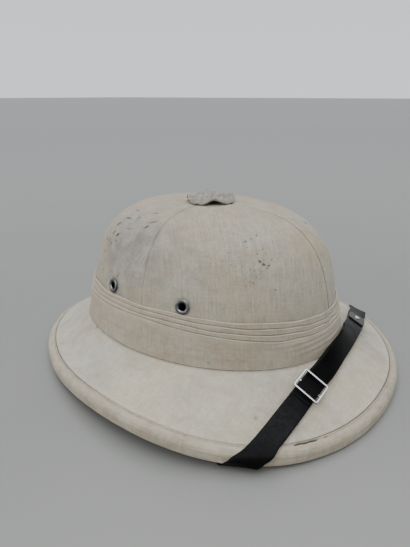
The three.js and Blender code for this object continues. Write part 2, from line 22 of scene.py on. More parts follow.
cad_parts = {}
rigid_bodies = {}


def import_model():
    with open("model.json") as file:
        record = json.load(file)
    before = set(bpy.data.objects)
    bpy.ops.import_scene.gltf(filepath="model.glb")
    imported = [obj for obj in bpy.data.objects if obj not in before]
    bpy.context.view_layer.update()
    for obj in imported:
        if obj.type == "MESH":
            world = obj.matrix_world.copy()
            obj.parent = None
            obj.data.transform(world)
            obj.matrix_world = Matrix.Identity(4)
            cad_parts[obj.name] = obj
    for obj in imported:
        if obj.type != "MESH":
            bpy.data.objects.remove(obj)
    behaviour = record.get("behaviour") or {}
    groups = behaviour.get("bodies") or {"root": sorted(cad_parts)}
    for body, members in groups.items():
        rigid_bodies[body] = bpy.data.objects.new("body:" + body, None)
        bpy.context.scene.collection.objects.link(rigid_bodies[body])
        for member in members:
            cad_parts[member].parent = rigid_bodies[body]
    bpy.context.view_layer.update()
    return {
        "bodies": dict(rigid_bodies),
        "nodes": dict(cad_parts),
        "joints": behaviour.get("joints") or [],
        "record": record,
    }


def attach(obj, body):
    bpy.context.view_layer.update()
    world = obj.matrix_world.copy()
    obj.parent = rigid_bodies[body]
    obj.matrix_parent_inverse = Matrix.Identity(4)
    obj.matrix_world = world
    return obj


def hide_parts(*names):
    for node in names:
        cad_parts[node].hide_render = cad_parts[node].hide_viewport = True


LOG = logging.getLogger("pith_helmet")
MM = 0.001
TAU = 2 * math.pi
BODY = "root"

Array = np.ndarray
Colour = tuple[float, float, float]
Socket = bpy.types.NodeSocket
Surface = Callable[[Array, Array], Array]


class Slot(Enum):
    """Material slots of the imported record."""

    CROWN_CLOTH = "crown_cloth"
    BRIM_CLOTH = "brim_cloth"
    BAND_CLOTH = "band_cloth"
    PITH = "pith"
    LEATHER = "leather"
    STEEL = "polished_steel"
    NICKEL = "dark_nickel"


class Seat(Enum):
    """What a row of the strap's way lies on."""

    WALL = "wall"
    CORNER = "corner"
    UNDER = "under"
    RIM = "rim"
    BRIM = "brim"


# Shape helpers ------------------------------------------------------------------------------------


def unit(vectors: Array) -> Array:
    """Vectors scaled to a length of 1."""
    return vectors / np.maximum(np.linalg.norm(vectors, axis=-1, keepdims=True), 1e-12)


def ease(low: float, high: float, values: Array) -> Array:
    """Smooth step from 0 at low to 1 at high."""
    share = np.clip((np.asarray(values) - low) / (high - low), 0.0, 1.0)
    return share * share * (3 - 2 * share)


def hump(values: Array, centre: float, width: float) -> Array:
    """Bell curve of height 1 round a centre."""
    return np.exp(-(((values - centre) / width) ** 2))


def turns_of(count: int) -> Array:
    """Directions of so many turns, evenly spaced all round."""
    return np.linspace(0, TAU, count, endpoint=False)


def signed_degrees(angle: Array) -> Array:
    """Directions in degrees, from -180 to 180."""
    return np.degrees((angle + math.pi) % TAU - math.pi)


def arc(centre: tuple[float, float], radii: tuple[float, float], start: float, end: float,
        count: int) -> list[tuple[float, float]]:
    """Places on an ellipse between two directions in degrees, kept clear of the axis of a turned part."""
    return [(max(centre[0] + radii[0] * math.cos(turn), 0.03), centre[1] + radii[1] * math.sin(turn))
            for turn in np.radians(np.linspace(start, end, count))]


def dotted(points: Array, dots: Iterable[tuple[Array, float, float]]) -> Array:
    """Sum at each point of soft round dots, given by their centre, radius and strength."""
    return sum(strength * hump(np.linalg.norm(points - centre, axis=-1), 0.0, radius)
               for centre, radius, strength in dots)


def smoothed(values: Array, sigma: float) -> Array:
    """Values along their first axis, evened out over about sigma entries, with the ends kept in place."""
    reach = min(int(3 * sigma) + 1, len(values) - 1)
    weight = np.exp(-((np.arange(-reach, reach + 1) / sigma) ** 2) / 2)
    before = 2 * values[:1] - values[reach:0:-1]
    after = 2 * values[-1:] - values[-2:-reach - 2:-1]
    padded = np.concatenate([before, values, after])
    return sum(part * padded[index:index + len(values)] for index, part in enumerate(weight / weight.sum()))


@dataclass(frozen=True)
class Undulation:
    """Smooth unevenness made of plane waves with random directions.

    Attributes:
        seed: Fixes the waves.
        wavelength: Typical distance between crests.
        waves: How many waves are added up.
    """

    seed: int
    wavelength: float
    waves: int = 14

    def at(self, points: Array) -> Array:
        """Value of about -1 to 1 at each point, whose coordinates come last."""
        rng = np.random.default_rng(self.seed)
        total = np.zeros(points.shape[:-1])
        for _ in range(self.waves):
            direction = unit(rng.normal(size=points.shape[-1]))
            stretch = self.wavelength * rng.uniform(0.6, 1.7)
            total += np.sin(points @ (direction * TAU / stretch) + rng.uniform(0, TAU))
        return total / math.sqrt(self.waves)


def rounded(corners: Sequence[Array], cuts: Sequence[float], steps: int = 4) -> list[Array]:
    """Rows of a section with its corners rounded off.

    Args:
        corners: Corner points, each an array over the turns.
        cuts: How far from each corner its rounding starts, 0 for a sharp one.
        steps: Rows in each rounding.

    Returns:
        The rows of the section.
    """
    rows: list[Array] = []
    for index, (corner, cut) in enumerate(zip(corners, cuts)):
        if cut <= 0:
            rows.append(corner)
            continue
        start, end = (
            corner + unit(away) * np.minimum(cut, 0.49 * np.linalg.norm(away, axis=-1))[..., None]
            for away in (corners[index - 1] - corner, corners[index + 1] - corner))
        rows += [(1 - t) ** 2 * start + 2 * t * (1 - t) * corner + t * t * end
                 for t in np.linspace(0, 1, steps + 1)]
    return rows


def surface_normal(surface: Surface, u: Array, v: Array) -> Array:
    """Upward unit normal of a surface that gives points for two arrays."""
    step = 0.001
    normal = unit(np.cross(surface(u + step, v) - surface(u - step, v),
                           surface(u, v + step) - surface(u, v - step)))
    return np.where(normal[..., 2:] < 0, -normal, normal)


@dataclass(frozen=True)
class HelmetForm:
    """Sizes and surfaces that every piece of the helmet's body follows."""

    crown_x: float = 2.0
    half_length: float = 115.5
    half_width: float = 93.1
    rise: float = 99.4
    taper: float = 0.114
    squareness: float = 3.92
    foot_height: float = 39.7
    foot_tilt: float = -1.26
    foot_tilt_fade: float = 1.6
    brim_front: float = 164.0
    brim_back: float = 168.0
    brim_half_width: float = 141.2
    brim_squareness: float = 2.107
    forward_flare: float = 0.146
    edge_slope: float = 0.409
    foot_offset: float = 3.5
    rim_height: float = 9.0
    side_lift: float = 11.4
    side_lift_forward: float = 0.19
    rest_flattening: float = 0.12
    binding_width: float = 6.9
    cloth: float = 1.0
    shell: float = 4.0
    gap: float = 0.3

    @property
    def outside(self) -> float:
        """Offset of the shell's outer face from the cloth's."""
        return -self.cloth - self.gap

    @property
    def inside(self) -> float:
        """Offset of the shell's inner face from the cloth's."""
        return self.outside - self.shell

    def crown(self, angle: Array, height: Array, offset: Array) -> Array:
        """Points on the crown.

        Args:
            angle: Direction from the middle of the crown.
            height: Height above the crown's foot.
            offset: Distance outside the crown's cloth.

        Returns:
            Points in millimetres.
        """
        level = np.minimum(height / (self.rise + offset), 1.0)
        full = (1 - np.clip(level, 0, 1) ** self.squareness) ** (1 / self.squareness)
        reach = (1 - self.taper * level) * full
        tilt = self.foot_tilt * np.cos(angle) * np.clip(1 - self.foot_tilt_fade * level, 0, 1)
        x = self.crown_x + (self.half_length + offset) * reach * np.cos(angle)
        y = (self.half_width + offset) * reach * np.sin(angle)
        return np.stack(np.broadcast_arrays(x, y, self.foot_height + height + tilt), axis=-1)

    def crown_place(self, degrees: float, height: float, offset: float = 0.0) -> Array:
        """One point on the crown, with its direction in degrees."""
        return self.crown(np.array(math.radians(degrees)), np.array(float(height)), offset)

    def crown_row(self, angle: Array, level: Array, offset: Array) -> Array:
        """Points on the crown at a share of its height."""
        level = np.broadcast_to(level, np.shape(angle))
        return self.crown(angle, level * (self.rise + offset), offset)

    def foot(self, angle: Array, offset: float, rise: float) -> Array:
        """Points at the foot of the crown, raised by rise."""
        points = self.crown(angle, np.zeros_like(angle), offset)
        points[..., 2] += rise
        return points

    def edge(self, angle: Array) -> Array:
        """Upper edge of the brim's rim."""
        cos, sin = np.cos(angle), np.sin(angle)
        length = np.where(cos > 0, self.brim_front, self.brim_back)
        power = self.brim_squareness
        across = (np.abs(sin) / self.brim_half_width) ** power
        reach = ((np.abs(cos) / length) ** power + across) ** (-1 / power)
        lift = self.side_lift * np.sin(angle + self.side_lift_forward * sin) ** 4
        z = self.rim_height + np.maximum(0, lift - self.rest_flattening)
        y = reach * sin * (1 + self.forward_flare * cos)
        return np.stack([self.crown_x + reach * cos, y, z], axis=-1)

    def brim_width(self, angle: Array) -> Array:
        """Distance from the foot of the crown to the brim's edge, seen from above."""
        across = self.edge(angle) - self.foot(angle, self.foot_offset, 0)
        return np.hypot(across[..., 0], across[..., 1])

    def brim_surface(self, angle: Array, across: Array) -> Array:
        """Points on top of the brim, at a share of its width."""
        foot = self.foot(angle, self.foot_offset, 0)
        edge = self.edge(angle)
        sag = foot[..., 2] - edge[..., 2] - self.edge_slope * self.brim_width(angle)
        across = np.asarray(across)
        points = foot + (edge - foot) * across[..., None]
        points[..., 2] -= sag * across * (1 - across)
        return points

    def brim(self, angle: Array, across: Array, offset: Array) -> Array:
        """Points over the brim, at a distance from its surface."""
        across = np.broadcast_to(across, np.shape(angle))
        normal = surface_normal(self.brim_surface, angle, across)
        return self.brim_surface(angle, across) + normal * np.asarray(offset)[..., None]

    def rim(self, angle: Array, inset: float, rise: float) -> Array:
        """Points at the rim, given inwards from its edge and up from its top."""
        points = self.brim_surface(angle, 1 - inset / self.brim_width(angle))
        points[..., 2] = self.edge(angle)[..., 2] + rise
        return points

    def near_edge(self, angle: Array, inset: Array, offset: Array) -> Array:
        """Points over the brim, given inwards from its edge."""
        return self.brim(angle, 1 - inset / self.brim_width(angle), offset)

    def crown_levels(self, rows: int, start: float, end: float = 0.99997) -> Array:
        """Shares of the crown's height that are evenly spaced along its side."""
        fine = 1 - (1 - np.linspace(0, 1, 4000)) ** 3
        side = self.crown_row(np.full_like(fine, -0.8), start + (end - start) * fine, 0.0)
        length = np.concatenate([[0], np.cumsum(np.linalg.norm(np.diff(side, axis=0), axis=1))])
        return start + (end - start) * np.interp(np.linspace(0, length[-1], rows), length, fine)


FORM = HelmetForm()


# Meshes -------------------------------------------------------------------------------------------


def new_object(name: str, data: Optional[bpy.types.ID] = None) -> bpy.types.Object:
    """Adds an object to the scene, with an empty mesh unless it is given its data."""
    item = bpy.data.objects.new(name, data or bpy.data.meshes.new(name))
    bpy.context.scene.collection.objects.link(item)
    return item


@dataclass
class Grid:
    """A mesh under construction: points, four-sided faces, and values carried by the points.

    Attributes:
        points: Vertices in millimetres.
        faces: Corner numbers of the faces.
        uv: A place in metres for each corner of each face.
        values: Named numbers for each vertex.
    """

    points: Array
    faces: Array
    uv: Array
    values: dict[str, Array] = field(default_factory=dict)

    def volume(self) -> float:
        """Signed volume inside the faces."""
        corner = self.points[self.faces]
        spans = [np.cross(corner[:, first], corner[:, first + 1]) for first in (1, 2)]
        return sum(float(np.einsum("ij,ij->i", corner[:, 0], span).sum()) for span in spans) / 6

    def to_object(self, name: str, sharp: float = 50.0) -> bpy.types.Object:
        """Makes the object, with edges that bend by more than sharp degrees shaded sharp."""
        if self.volume() < 0:
            self.faces, self.uv = self.faces[:, ::-1], self.uv[:, ::-1]
        item = new_object(name)
        mesh = item.data
        mesh.vertices.add(len(self.points))
        mesh.vertices.foreach_set("co", (self.points * MM).astype(np.float32).ravel())
        mesh.loops.add(self.faces.size)
        mesh.loops.foreach_set("vertex_index", self.faces.astype(np.int32).ravel())
        mesh.polygons.add(len(self.faces))
        mesh.polygons.foreach_set("loop_start", np.arange(0, self.faces.size, 4, dtype=np.int32))
        mesh.uv_layers.new(name="UVMap").data.foreach_set("uv", self.uv.astype(np.float32).ravel())
        for key, numbers in self.values.items():
            attribute = mesh.attributes.new(key, "FLOAT", "POINT")
            attribute.data.foreach_set("value", numbers.astype(np.float32).ravel())
        mesh.update(calc_edges=True)
        mesh.validate()
        mesh.shade_smooth()
        mesh.set_sharp_from_angle(angle=math.radians(sharp))
        return item


def ring_grid(rows: Sequence[Array], values: Optional[dict[str, Array]] = None, planar: bool = False,
              turned: bool = False) -> Grid:
    """A solid swept round the helmet.

    Args:
        rows: Rows of a closed section, each with a point for every turn.
        values: Named numbers, each with an entry for every row and turn.
        planar: Whether the place on the cloth is taken from above, not along the section.
        turned: Whether the warp runs round the helmet, not along the section.

    Returns:
        The solid.
    """
    points = np.stack(rows)
    count, turns = points.shape[:2]
    row, turn = (numbers.ravel()
                 for numbers in np.meshgrid(np.arange(count), np.arange(turns), indexing="ij"))
    up, on = (row + 1) % count, (turn + 1) % turns
    faces = np.stack([row * turns + turn, row * turns + on, up * turns + on, up * turns + turn], axis=1)
    if planar:
        uv = points.reshape(-1, 3)[faces][..., :2] * MM
    else:
        steps = np.linalg.norm(np.diff(points[:, 0], axis=0, append=points[:1, 0]), axis=1)
        along = np.concatenate([[0], np.cumsum(steps)])
        around = np.linspace(0, np.linalg.norm(np.diff(points[0], axis=0), axis=1).sum(), turns + 1)
        u = around[np.stack([turn, turn + 1, turn + 1, turn], axis=1)]
        v = along[np.stack([row, row, row + 1, row + 1], axis=1)]
        uv = np.stack([v, u] if turned else [u, v], axis=-1) * MM
    flat = {key: numbers.ravel() for key, numbers in (values or {}).items()}
    return Grid(points.reshape(-1, 3), faces, uv, flat)


def sheet_grid(outer: Array, inner: Array, uv: Array, values: dict[str, Array], keep: Array) -> Grid:
    """A closed sheet between two layers of points.

    Args:
        outer: Outer points by row and column.
        inner: Inner points by row and column.
        uv: Place on the cloth by row and column, in metres.
        values: Named numbers by row and column.
        keep: Which cells are kept, for holes in the sheet.

    Returns:
        The sheet.
    """
    rows, columns = outer.shape[:2]
    lower = rows * columns
    number = np.arange(lower).reshape(rows, columns)
    corners = np.stack([number[:-1, :-1], number[:-1, 1:], number[1:, 1:], number[1:, :-1]], axis=-1)
    top = corners[keep]
    padded = np.pad(keep, 1)
    walls = []
    for side, beyond in enumerate((padded[:-2, 1:-1], padded[1:-1, 2:], padded[2:, 1:-1], padded[1:-1, :-2])):
        here = keep & ~beyond
        first, second = corners[here, side], corners[here, (side + 1) % 4]
        walls.append(np.stack([second, first, first + lower, second + lower], axis=1))
    faces = np.concatenate([top, top[:, ::-1] + lower, *walls])
    points = np.concatenate([outer.reshape(-1, 3), inner.reshape(-1, 3)])
    used, compact = np.unique(faces, return_inverse=True)
    flat_uv = np.concatenate([uv.reshape(-1, 2)] * 2)
    flat = {key: np.concatenate([numbers.ravel()] * 2)[used] for key, numbers in values.items()}
    return Grid(points[used], compact.reshape(faces.shape), flat_uv[faces], flat)


def lathe_grid(profile: Sequence[tuple[float, float]], sides: int, frame: Array) -> Grid:
    """A closed turned ring, from a profile of radii and heights, placed by a four by four matrix."""
    angle = turns_of(sides)
    rows = [np.stack([radius * np.cos(angle), radius * np.sin(angle), np.full_like(angle, height)], axis=-1)
            for radius, height in profile]
    return ring_grid([row @ frame[:3, :3].T + frame[:3, 3] for row in rows])


def frame_at(origin: Array, along: Array, normal: Array) -> Array:
    """Four by four matrix with x along, y across and z away from the surface."""
    across = unit(np.cross(normal, along))
    frame = np.eye(4)
    frame[:3] = np.stack([unit(np.cross(across, normal)), across, normal, origin], axis=1)
    return frame


def to_matrix(frame: Array) -> Matrix:
    """Blender matrix in metres from a frame in millimetres."""
    matrix = Matrix([list(map(float, row)) for row in frame])
    matrix.translation *= MM
    return matrix


def bake_modifiers(item: bpy.types.Object) -> bpy.types.Object:
    """Turns an object's modifiers into its plain mesh."""
    graph = bpy.context.evaluated_depsgraph_get()
    mesh = bpy.data.meshes.new_from_object(item.evaluated_get(graph), preserve_all_data_layers=True,
                                           depsgraph=graph)
    item.modifiers.clear()
    old, item.data = item.data, mesh
    bpy.data.meshes.remove(old)
    mesh.name = item.name
    return item


def dress(item: bpy.types.Object, finish: bpy.types.Material, slot: Slot, *nodes: str) -> bpy.types.Object:
    """Gives a piece its material, its body and the solids that it stands for.

    Args:
        item: The piece.
        finish: Its material.
        slot: Slot of the record that the finish belongs to; not used.
        nodes: Solids that it replaces.

    Returns:
        The piece.
    """
    item.data.materials.clear()
    item.data.materials.append(finish)
    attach(item, BODY)
    if nodes:
        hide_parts(*nodes)
    LOG.info("%s: %d faces, in place of %s", item.name, len(item.data.polygons),
             ", ".join(nodes) or "nothing")
    return item


# Node trees ---------------------------------------------------------------------------------------


class Wiring:
    """A node tree, with short ways to add and link its nodes."""

    def __init__(self, tree: bpy.types.NodeTree) -> None:
        """Takes the tree."""
        self.tree = tree

    def join(self, source: Union[Socket, float, Sequence[float]], target: Socket) -> None:
        """Links a socket, or sets a plain value."""
        if isinstance(source, bpy.types.NodeSocket):
            self.tree.links.new(source, target)
        else:
            target.default_value = source

    def add(self, kind: str, inputs: Optional[dict[Union[str, int], object]] = None,
            **settings: object) -> bpy.types.Node:
        """Adds a node.

        Args:
            kind: Its type.
            inputs: Sockets or plain values for its inputs, by their name or number.
            settings: Its settings.

        Returns:
            The node.
        """
        node = self.tree.nodes.new(kind)
        for key, value in settings.items():
            setattr(node, key, value)
        for key, value in (inputs or {}).items():
            self.join(value, node.inputs[key])
        return node


class Recipe(Wiring):
    """A Geometry Nodes tree with named inputs."""

    def __init__(self, name: str, finish: str, *lengths: str) -> None:
        """Starts the tree, with inputs for lengths and for a finish."""
        super().__init__(bpy.data.node_groups.new(name, "GeometryNodeTree"))
        self.finish = finish
        sockets = [("Geometry", "Geometry"), *((length, "Float") for length in lengths), (finish, "Material")]
        for entry, kind in sockets:
            self.tree.interface.new_socket(entry, in_out="INPUT", socket_type=f"NodeSocket{kind}")
        self.tree.interface.new_socket("Geometry", in_out="OUTPUT", socket_type="NodeSocketGeometry")
        self.given = self.add("NodeGroupInput").outputs

    def end_with(self, geometry: Socket) -> None:
        """Ends the tree with plain geometry that wears the finish."""
        real = self.add("GeometryNodeRealizeInstances", {0: geometry})
        smooth = self.add("GeometryNodeSetShadeSmooth", {0: real.outputs[0]})
        sheen_and_wear = self.add("GeometryNodeSetMaterial", {"Geometry": smooth.outputs[0],
                                                    "Material": self.given[self.finish]})
        self.add("NodeGroupOutput", {0: sheen_and_wear.outputs[0]})

    def grow(self, item: bpy.types.Object, finish: bpy.types.Material,
             lengths: dict[str, float]) -> bpy.types.Object:
        """Puts the tree on an object, and turns what it makes into the object's plain mesh.

        Args:
            item: The object.
            finish: Its material.
            lengths: Millimetres for the tree's lengths, by their names.

        Returns:
            The object.
        """
        modifier = item.modifiers.new(self.tree.name, "NODES")
        modifier.node_group = self.tree
        given = {self.finish: finish, **{name: length * MM for name, length in lengths.items()}}
        for entry in self.tree.interface.items_tree:
            if entry.in_out == "INPUT" and entry.name in given:
                modifier[entry.identifier] = given[entry.name]
        return bake_modifiers(item)


class Finish(Wiring):
    """A material's node tree, with short ways to add what the finishes need."""

    def __init__(self, name: str) -> None:
        """Starts a material with an empty tree."""
        self.material = bpy.data.materials.new(name)
        self.material.use_nodes = True
        super().__init__(self.material.node_tree)
        self.tree.nodes.clear()
        self.shader = self.add("ShaderNodeBsdfPrincipled")
        self.add("ShaderNodeOutputMaterial", {"Surface": self.shader.outputs["BSDF"]})

    def math(self, operation: str, *values: Union[Socket, float]) -> Socket:
        """Works through the values with Math nodes, from the left."""
        def step(first: Union[Socket, float], second: Union[Socket, float]) -> Socket:
            """Joins two values."""
            return self.add("ShaderNodeMath", {0: first, 1: second}, operation=operation).outputs[0]

        return reduce(step, values)

    def plus(self, *values: Union[Socket, float]) -> Socket:
        """Sum of the values."""
        return self.math("ADD", *values)

    def times(self, *values: Union[Socket, float]) -> Socket:
        """Product of the values."""
        return self.math("MULTIPLY", *values)

    def wave(self, value: Socket, length: float) -> Socket:
        """Sine wave of a length along a value."""
        return self.math("SINE", self.times(value, TAU / length), 0.0)

    def mix(self, share: Union[Socket, float], first: Union[Socket, Colour], second: Union[Socket, Colour],
            blend: str = "MIX") -> Socket:
        """Mixes two colours by a share."""
        first, second = (value if isinstance(value, bpy.types.NodeSocket) else (*value, 1.0)
                         for value in (first, second))
        colour_inputs, colour_output = (6, 7), 2
        inputs = {0: share, **dict(zip(colour_inputs, (first, second)))}
        return self.add("ShaderNodeMix", inputs, data_type="RGBA", blend_type=blend).outputs[colour_output]

    def span(self, value: Socket, low: float, high: float, start: float = 0.0, end: float = 1.0) -> Socket:
        """Maps low..high to start..end, held at the ends."""
        inputs = {"Value": value, "From Min": low, "From Max": high, "To Min": start, "To Max": end}
        return self.add("ShaderNodeMapRange", inputs).outputs["Result"]

    def parts(self, vector: Socket) -> Sequence[Socket]:
        """The three numbers of a vector."""
        return self.add("ShaderNodeSeparateXYZ", {0: vector}).outputs

    def vector(self, *numbers: Union[Socket, float]) -> Socket:
        """Combines up to three numbers."""
        return self.add("ShaderNodeCombineXYZ", dict(enumerate(numbers))).outputs[0]

    def cloth_place(self) -> tuple[Socket, Socket]:
        """Place on the cloth in millimetres, along and across its threads."""
        place = self.parts(self.add("ShaderNodeUVMap", uv_map="UVMap").outputs["UV"])
        return self.times(place[0], 1 / MM), self.times(place[1], 1 / MM)

    def solid_place(self, size: float) -> Socket:
        """Object coordinates, in units of size millimetres."""
        place = self.add("ShaderNodeTexCoord").outputs["Object"]
        inputs = {0: place, "Scale": 1 / MM / size}
        return self.add("ShaderNodeVectorMath", inputs, operation="SCALE").outputs[0]

    def noise(self, place: Union[Socket, float], detail: float = 2.0, roughness: float = 0.5) -> Socket:
        """Noise of about 0 to 1, at a place or with grains of a size in millimetres."""
        vector = self.solid_place(place) if isinstance(place, float) else place
        inputs = {"Vector": vector, "Scale": 1.0, "Detail": detail, "Roughness": roughness}
        return self.add("ShaderNodeTexNoise", inputs).outputs["Fac"]

    def cells(self, size: float) -> Socket:
        """Distance to the nearest of a set of points that are scattered size millimetres apart."""
        inputs = {"Vector": self.solid_place(size), "Scale": 1.0}
        return self.add("ShaderNodeTexVoronoi", inputs).outputs["Distance"]

    def carried(self, name: str) -> Socket:
        """A number that the mesh carries."""
        return self.add("ShaderNodeAttribute", attribute_name=name).outputs["Fac"]

    def done(self, colour: Socket, roughness: Union[Socket, float],
             relief: Optional[tuple[Socket, float, float]] = None, **constants: float) -> bpy.types.Material:
        """Joins the results to the shader.

        Args:
            colour: Colour of the surface.
            roughness: Its roughness.
            relief: Heights, the millimetres of a height of 1, and the strength of the bump.
            constants: Other inputs of the shader, with underscores in their names.

        Returns:
            The material.
        """
        self.join(colour, self.shader.inputs["Base Color"])
        self.join(roughness, self.shader.inputs["Roughness"])
        for key, value in constants.items():
            self.shader.inputs[key.replace("_", " ").title().replace("Ior", "IOR")].default_value = value
        if relief:
            height, depth, strength = relief
            inputs = {"Strength": strength, "Distance": depth * MM, "Height": height}
            bump = self.add("ShaderNodeBump", inputs)
            self.join(bump.outputs["Normal"], self.shader.inputs["Normal"])
        return self.material


# Finishes -----------------------------------------------------------------------------------------


@dataclass(frozen=True)
class DrillCloth:
    """Faded cotton drill, with ribs, uneven threads, blotches, soiling and abraded edges, plus painted shade
    and painted highlights.

    Attributes:
        name: Name of the material.
        base: Colour of the clean cloth.
        warm: Colour of the yellowed places.
        cool: Colour of the greyed places.
        rib: Distance between the ribs.
        streak: Strength of the uneven threads.
        blotch: Size of the blotches.
        mottle: Strength of the cloudy unevenness.
    """

    name: str
    base: Colour
    warm: Colour
    cool: Colour
    rib: float
    streak: float
    blotch: float
    mottle: float
    fleck: Colour = (0.13, 0.11, 0.08)
    stained: Colour = (0.2, 0.2, 0.195)
    wear_and_highlight: Colour = (0.66, 0.6, 0.49)
    soil_and_shade: Colour = (0.045, 0.037, 0.03)
    mark: Colour = (0.04, 0.037, 0.03)

    def build(self) -> bpy.types.Material:
        """Makes the material."""
        graph = Finish(self.name)
        plus, times, span, noise = graph.plus, graph.times, graph.span, graph.noise
        u, v = graph.cloth_place()
        warp = noise(graph.vector(times(u, 0.75), times(v, 0.05)), 3.0, 0.65)
        weft = noise(graph.vector(times(u, 0.1), times(v, 0.9), 7.3), 2.0, 0.6)
        weave = plus(times(graph.wave(u, self.rib), 0.5), times(graph.wave(v, 0.62 * self.rib), 0.32))
        large, middle = noise(self.blotch, 3.0, 0.55), noise(self.blotch * 0.23, 3.0, 0.6)
        fine, ragged = noise(1.7, 2.0, 0.7), noise(0.8, 2.0, 0.6)
        dust, clouds = noise(4.5, 4.0, 0.75), noise(6.5, 4.0, 0.72)
        colour = graph.mix(span(large, 0.4, 0.62), self.cool, self.base)
        colour = graph.mix(span(middle, 0.45, 0.75, 0.0, 0.6), colour, self.warm)
        colour = graph.mix(span(dust, 0.5, 0.72, 0.0, 0.5), colour, self.warm)
        shade = times(
            span(warp, 0.3, 0.7, 1 - 0.17 * self.streak, 1 + 0.15 * self.streak),
            span(weft, 0.3, 0.7, 1 - 0.06 * self.streak, 1 + 0.06 * self.streak),
            span(weave, -0.8, 0.8, 0.975, 1.025),
            span(fine, 0.3, 0.7, 0.915, 1.06),
            span(clouds, 0.32, 0.68, 1 - self.mottle, 1 + self.mottle))
        colour = graph.mix(1.0, colour, graph.vector(shade, shade, shade), "MULTIPLY")
        stain = times(graph.carried("stain"), span(middle, 0.3, 0.62, 0.5, 1.3))
        colour = graph.mix(stain, colour, self.stained)
        # Lighter where the mesh asks: abraded places, and painted highlights on fold lips, crests and cords.
        colour = graph.mix(graph.carried("wear_and_highlight"), colour, self.wear_and_highlight)
        # Darker where the mesh asks: soiling, and painted shade in gaps, grooves, hollows and undersides.
        colour = graph.mix(graph.carried("soil_and_shade"), colour, self.soil_and_shade)
        speck = span(plus(graph.cells(3.3), times(ragged, 0.2)), 0.34, 0.2)
        crowded = span(plus(graph.carried("flecks"), middle), 0.72, 1.05)
        colour = graph.mix(times(speck, crowded, 0.75), colour, self.fleck)
        edge = times(graph.math("SUBTRACT", ragged, 0.5), 0.7)
        colour = graph.mix(span(plus(graph.carried("marks"), edge), 0.34, 0.8, 0.0, 0.9), colour, self.mark)
        height = plus(times(weave, 0.3), warp, times(weft, 0.6), times(fine, 0.5))
        return graph.done(colour, 0.92, (height, 0.2, 0.75), sheen_weight=0.12, sheen_roughness=0.5,
                          specular_ior_level=0.25)


@dataclass(frozen=True)
class StrapLeather:
    """Black strap leather with a fine grain, dulled in places, abraded at its edges, and greyer with a
    painted sheen in places.
    """

    base: Colour = (0.0009, 0.0009, 0.0011)
    wear_and_highlight: Colour = (0.014, 0.0142, 0.0158)
    roughness: float = 0.3

    def build(self) -> bpy.types.Material:
        """Makes the material."""
        graph = Finish("strap_leather")
        grain, creases, wear = graph.cells(0.9), graph.noise(3.2, 3.0, 0.6), graph.noise(14.0, 3.0, 0.6)
        # The mesh's value lightens the top face: abraded edges and a painted sheen.
        sheen_and_wear = graph.times(graph.carried("wear_and_highlight"), graph.span(creases, 0.35, 0.6, 0.45, 1.1))
        colour = graph.mix(graph.span(wear, 0.45, 0.75, 0.0, 0.12), self.base, self.wear_and_highlight)
        rough = graph.span(wear, 0.3, 0.7, self.roughness - 0.05, self.roughness + 0.14)
        colour = graph.mix(sheen_and_wear, colour, self.wear_and_highlight)
        rough = graph.plus(rough, graph.span(grain, 0.2, 0.6, 0.0, 0.06))
        height = graph.plus(grain, graph.times(creases, 1.6))
        return graph.done(colour, rough, (height, 0.09, 0.6), specular_ior_level=0.07)


@dataclass(frozen=True)
class Metal:
    """Metal with fine scratches, handling marks and painted shade on the faces that point down.

    Attributes:
        name: Name of the material.
        base: Its colour.
        roughness: Roughness of its clean places.
        tarnish: Colour of the dull places.
        amount: How much of it is dull.
        shade: Colour of the painted shade on its lower sides.
    """

    name: str
    base: Colour
    roughness: float
    tarnish: Colour
    amount: float = 0.35
    shade: Colour = (0.06, 0.06, 0.06)

    def build(self) -> bpy.types.Material:
        """Makes the material."""
        graph = Finish(self.name)
        spots, scratches = graph.noise(2.6, 4.0, 0.65), graph.noise(0.5, 2.0, 0.7)
        upward = graph.parts(graph.add("ShaderNodeNewGeometry").outputs["Normal"])[2]
        colour = graph.mix(graph.span(spots, 0.5, 0.78, 0.0, self.amount), self.base, self.tarnish)
        # Painted shade: faces that point down are darkened towards the shade colour.
        colour = graph.mix(graph.span(upward, 0.6, -0.1, 0.0, 0.85), colour, self.shade)
        rough = graph.span(spots, 0.35, 0.75, self.roughness, self.roughness + 0.2)
        return graph.done(colour, rough, (scratches, 0.02, 0.3), metallic=1.0)


@dataclass(frozen=True)
class PaintedMetal:
    """Dark lacquer on a metal fitting, with a soft gloss and worn corners."""

    base: Colour = (0.022, 0.0225, 0.024)
    bare: Colour = (0.2, 0.2, 0.2)

    def build(self) -> bpy.types.Material:
        """Makes the material."""
        graph = Finish("lacquered_fitting")
        wear = graph.noise(3.0, 4.0, 0.6)
        colour = graph.mix(graph.span(wear, 0.55, 0.75, 0.0, 0.35), self.base, self.bare)
        return graph.done(colour, graph.span(wear, 0.3, 0.7, 0.26, 0.42), (wear, 0.04, 0.4), metallic=0.3,
                          specular_ior_level=0.35)


@dataclass(frozen=True)
class PressedPith:
    """Pale pressed pith with pores and fibres, under the brim and inside the crown."""

    light: Colour = (0.52, 0.455, 0.33)
    dark: Colour = (0.34, 0.285, 0.19)

    def build(self) -> bpy.types.Material:
        """Makes the material."""
        graph = Finish("pressed_pith")
        pores, fibre, broad = graph.cells(2.4), graph.noise(7.0, 4.0, 0.65), graph.noise(40.0, 3.0, 0.5)
        colour = graph.mix(graph.span(fibre, 0.3, 0.7), self.dark, self.light)
        colour = graph.mix(graph.span(broad, 0.4, 0.7, 0.0, 0.4), colour, self.dark)
        colour = graph.mix(graph.span(pores, 0.0, 0.25, 0.45, 0.0), colour, self.dark)
        return graph.done(colour, 0.9, (graph.plus(pores, fibre), 0.35, 0.6), specular_ior_level=0.2)


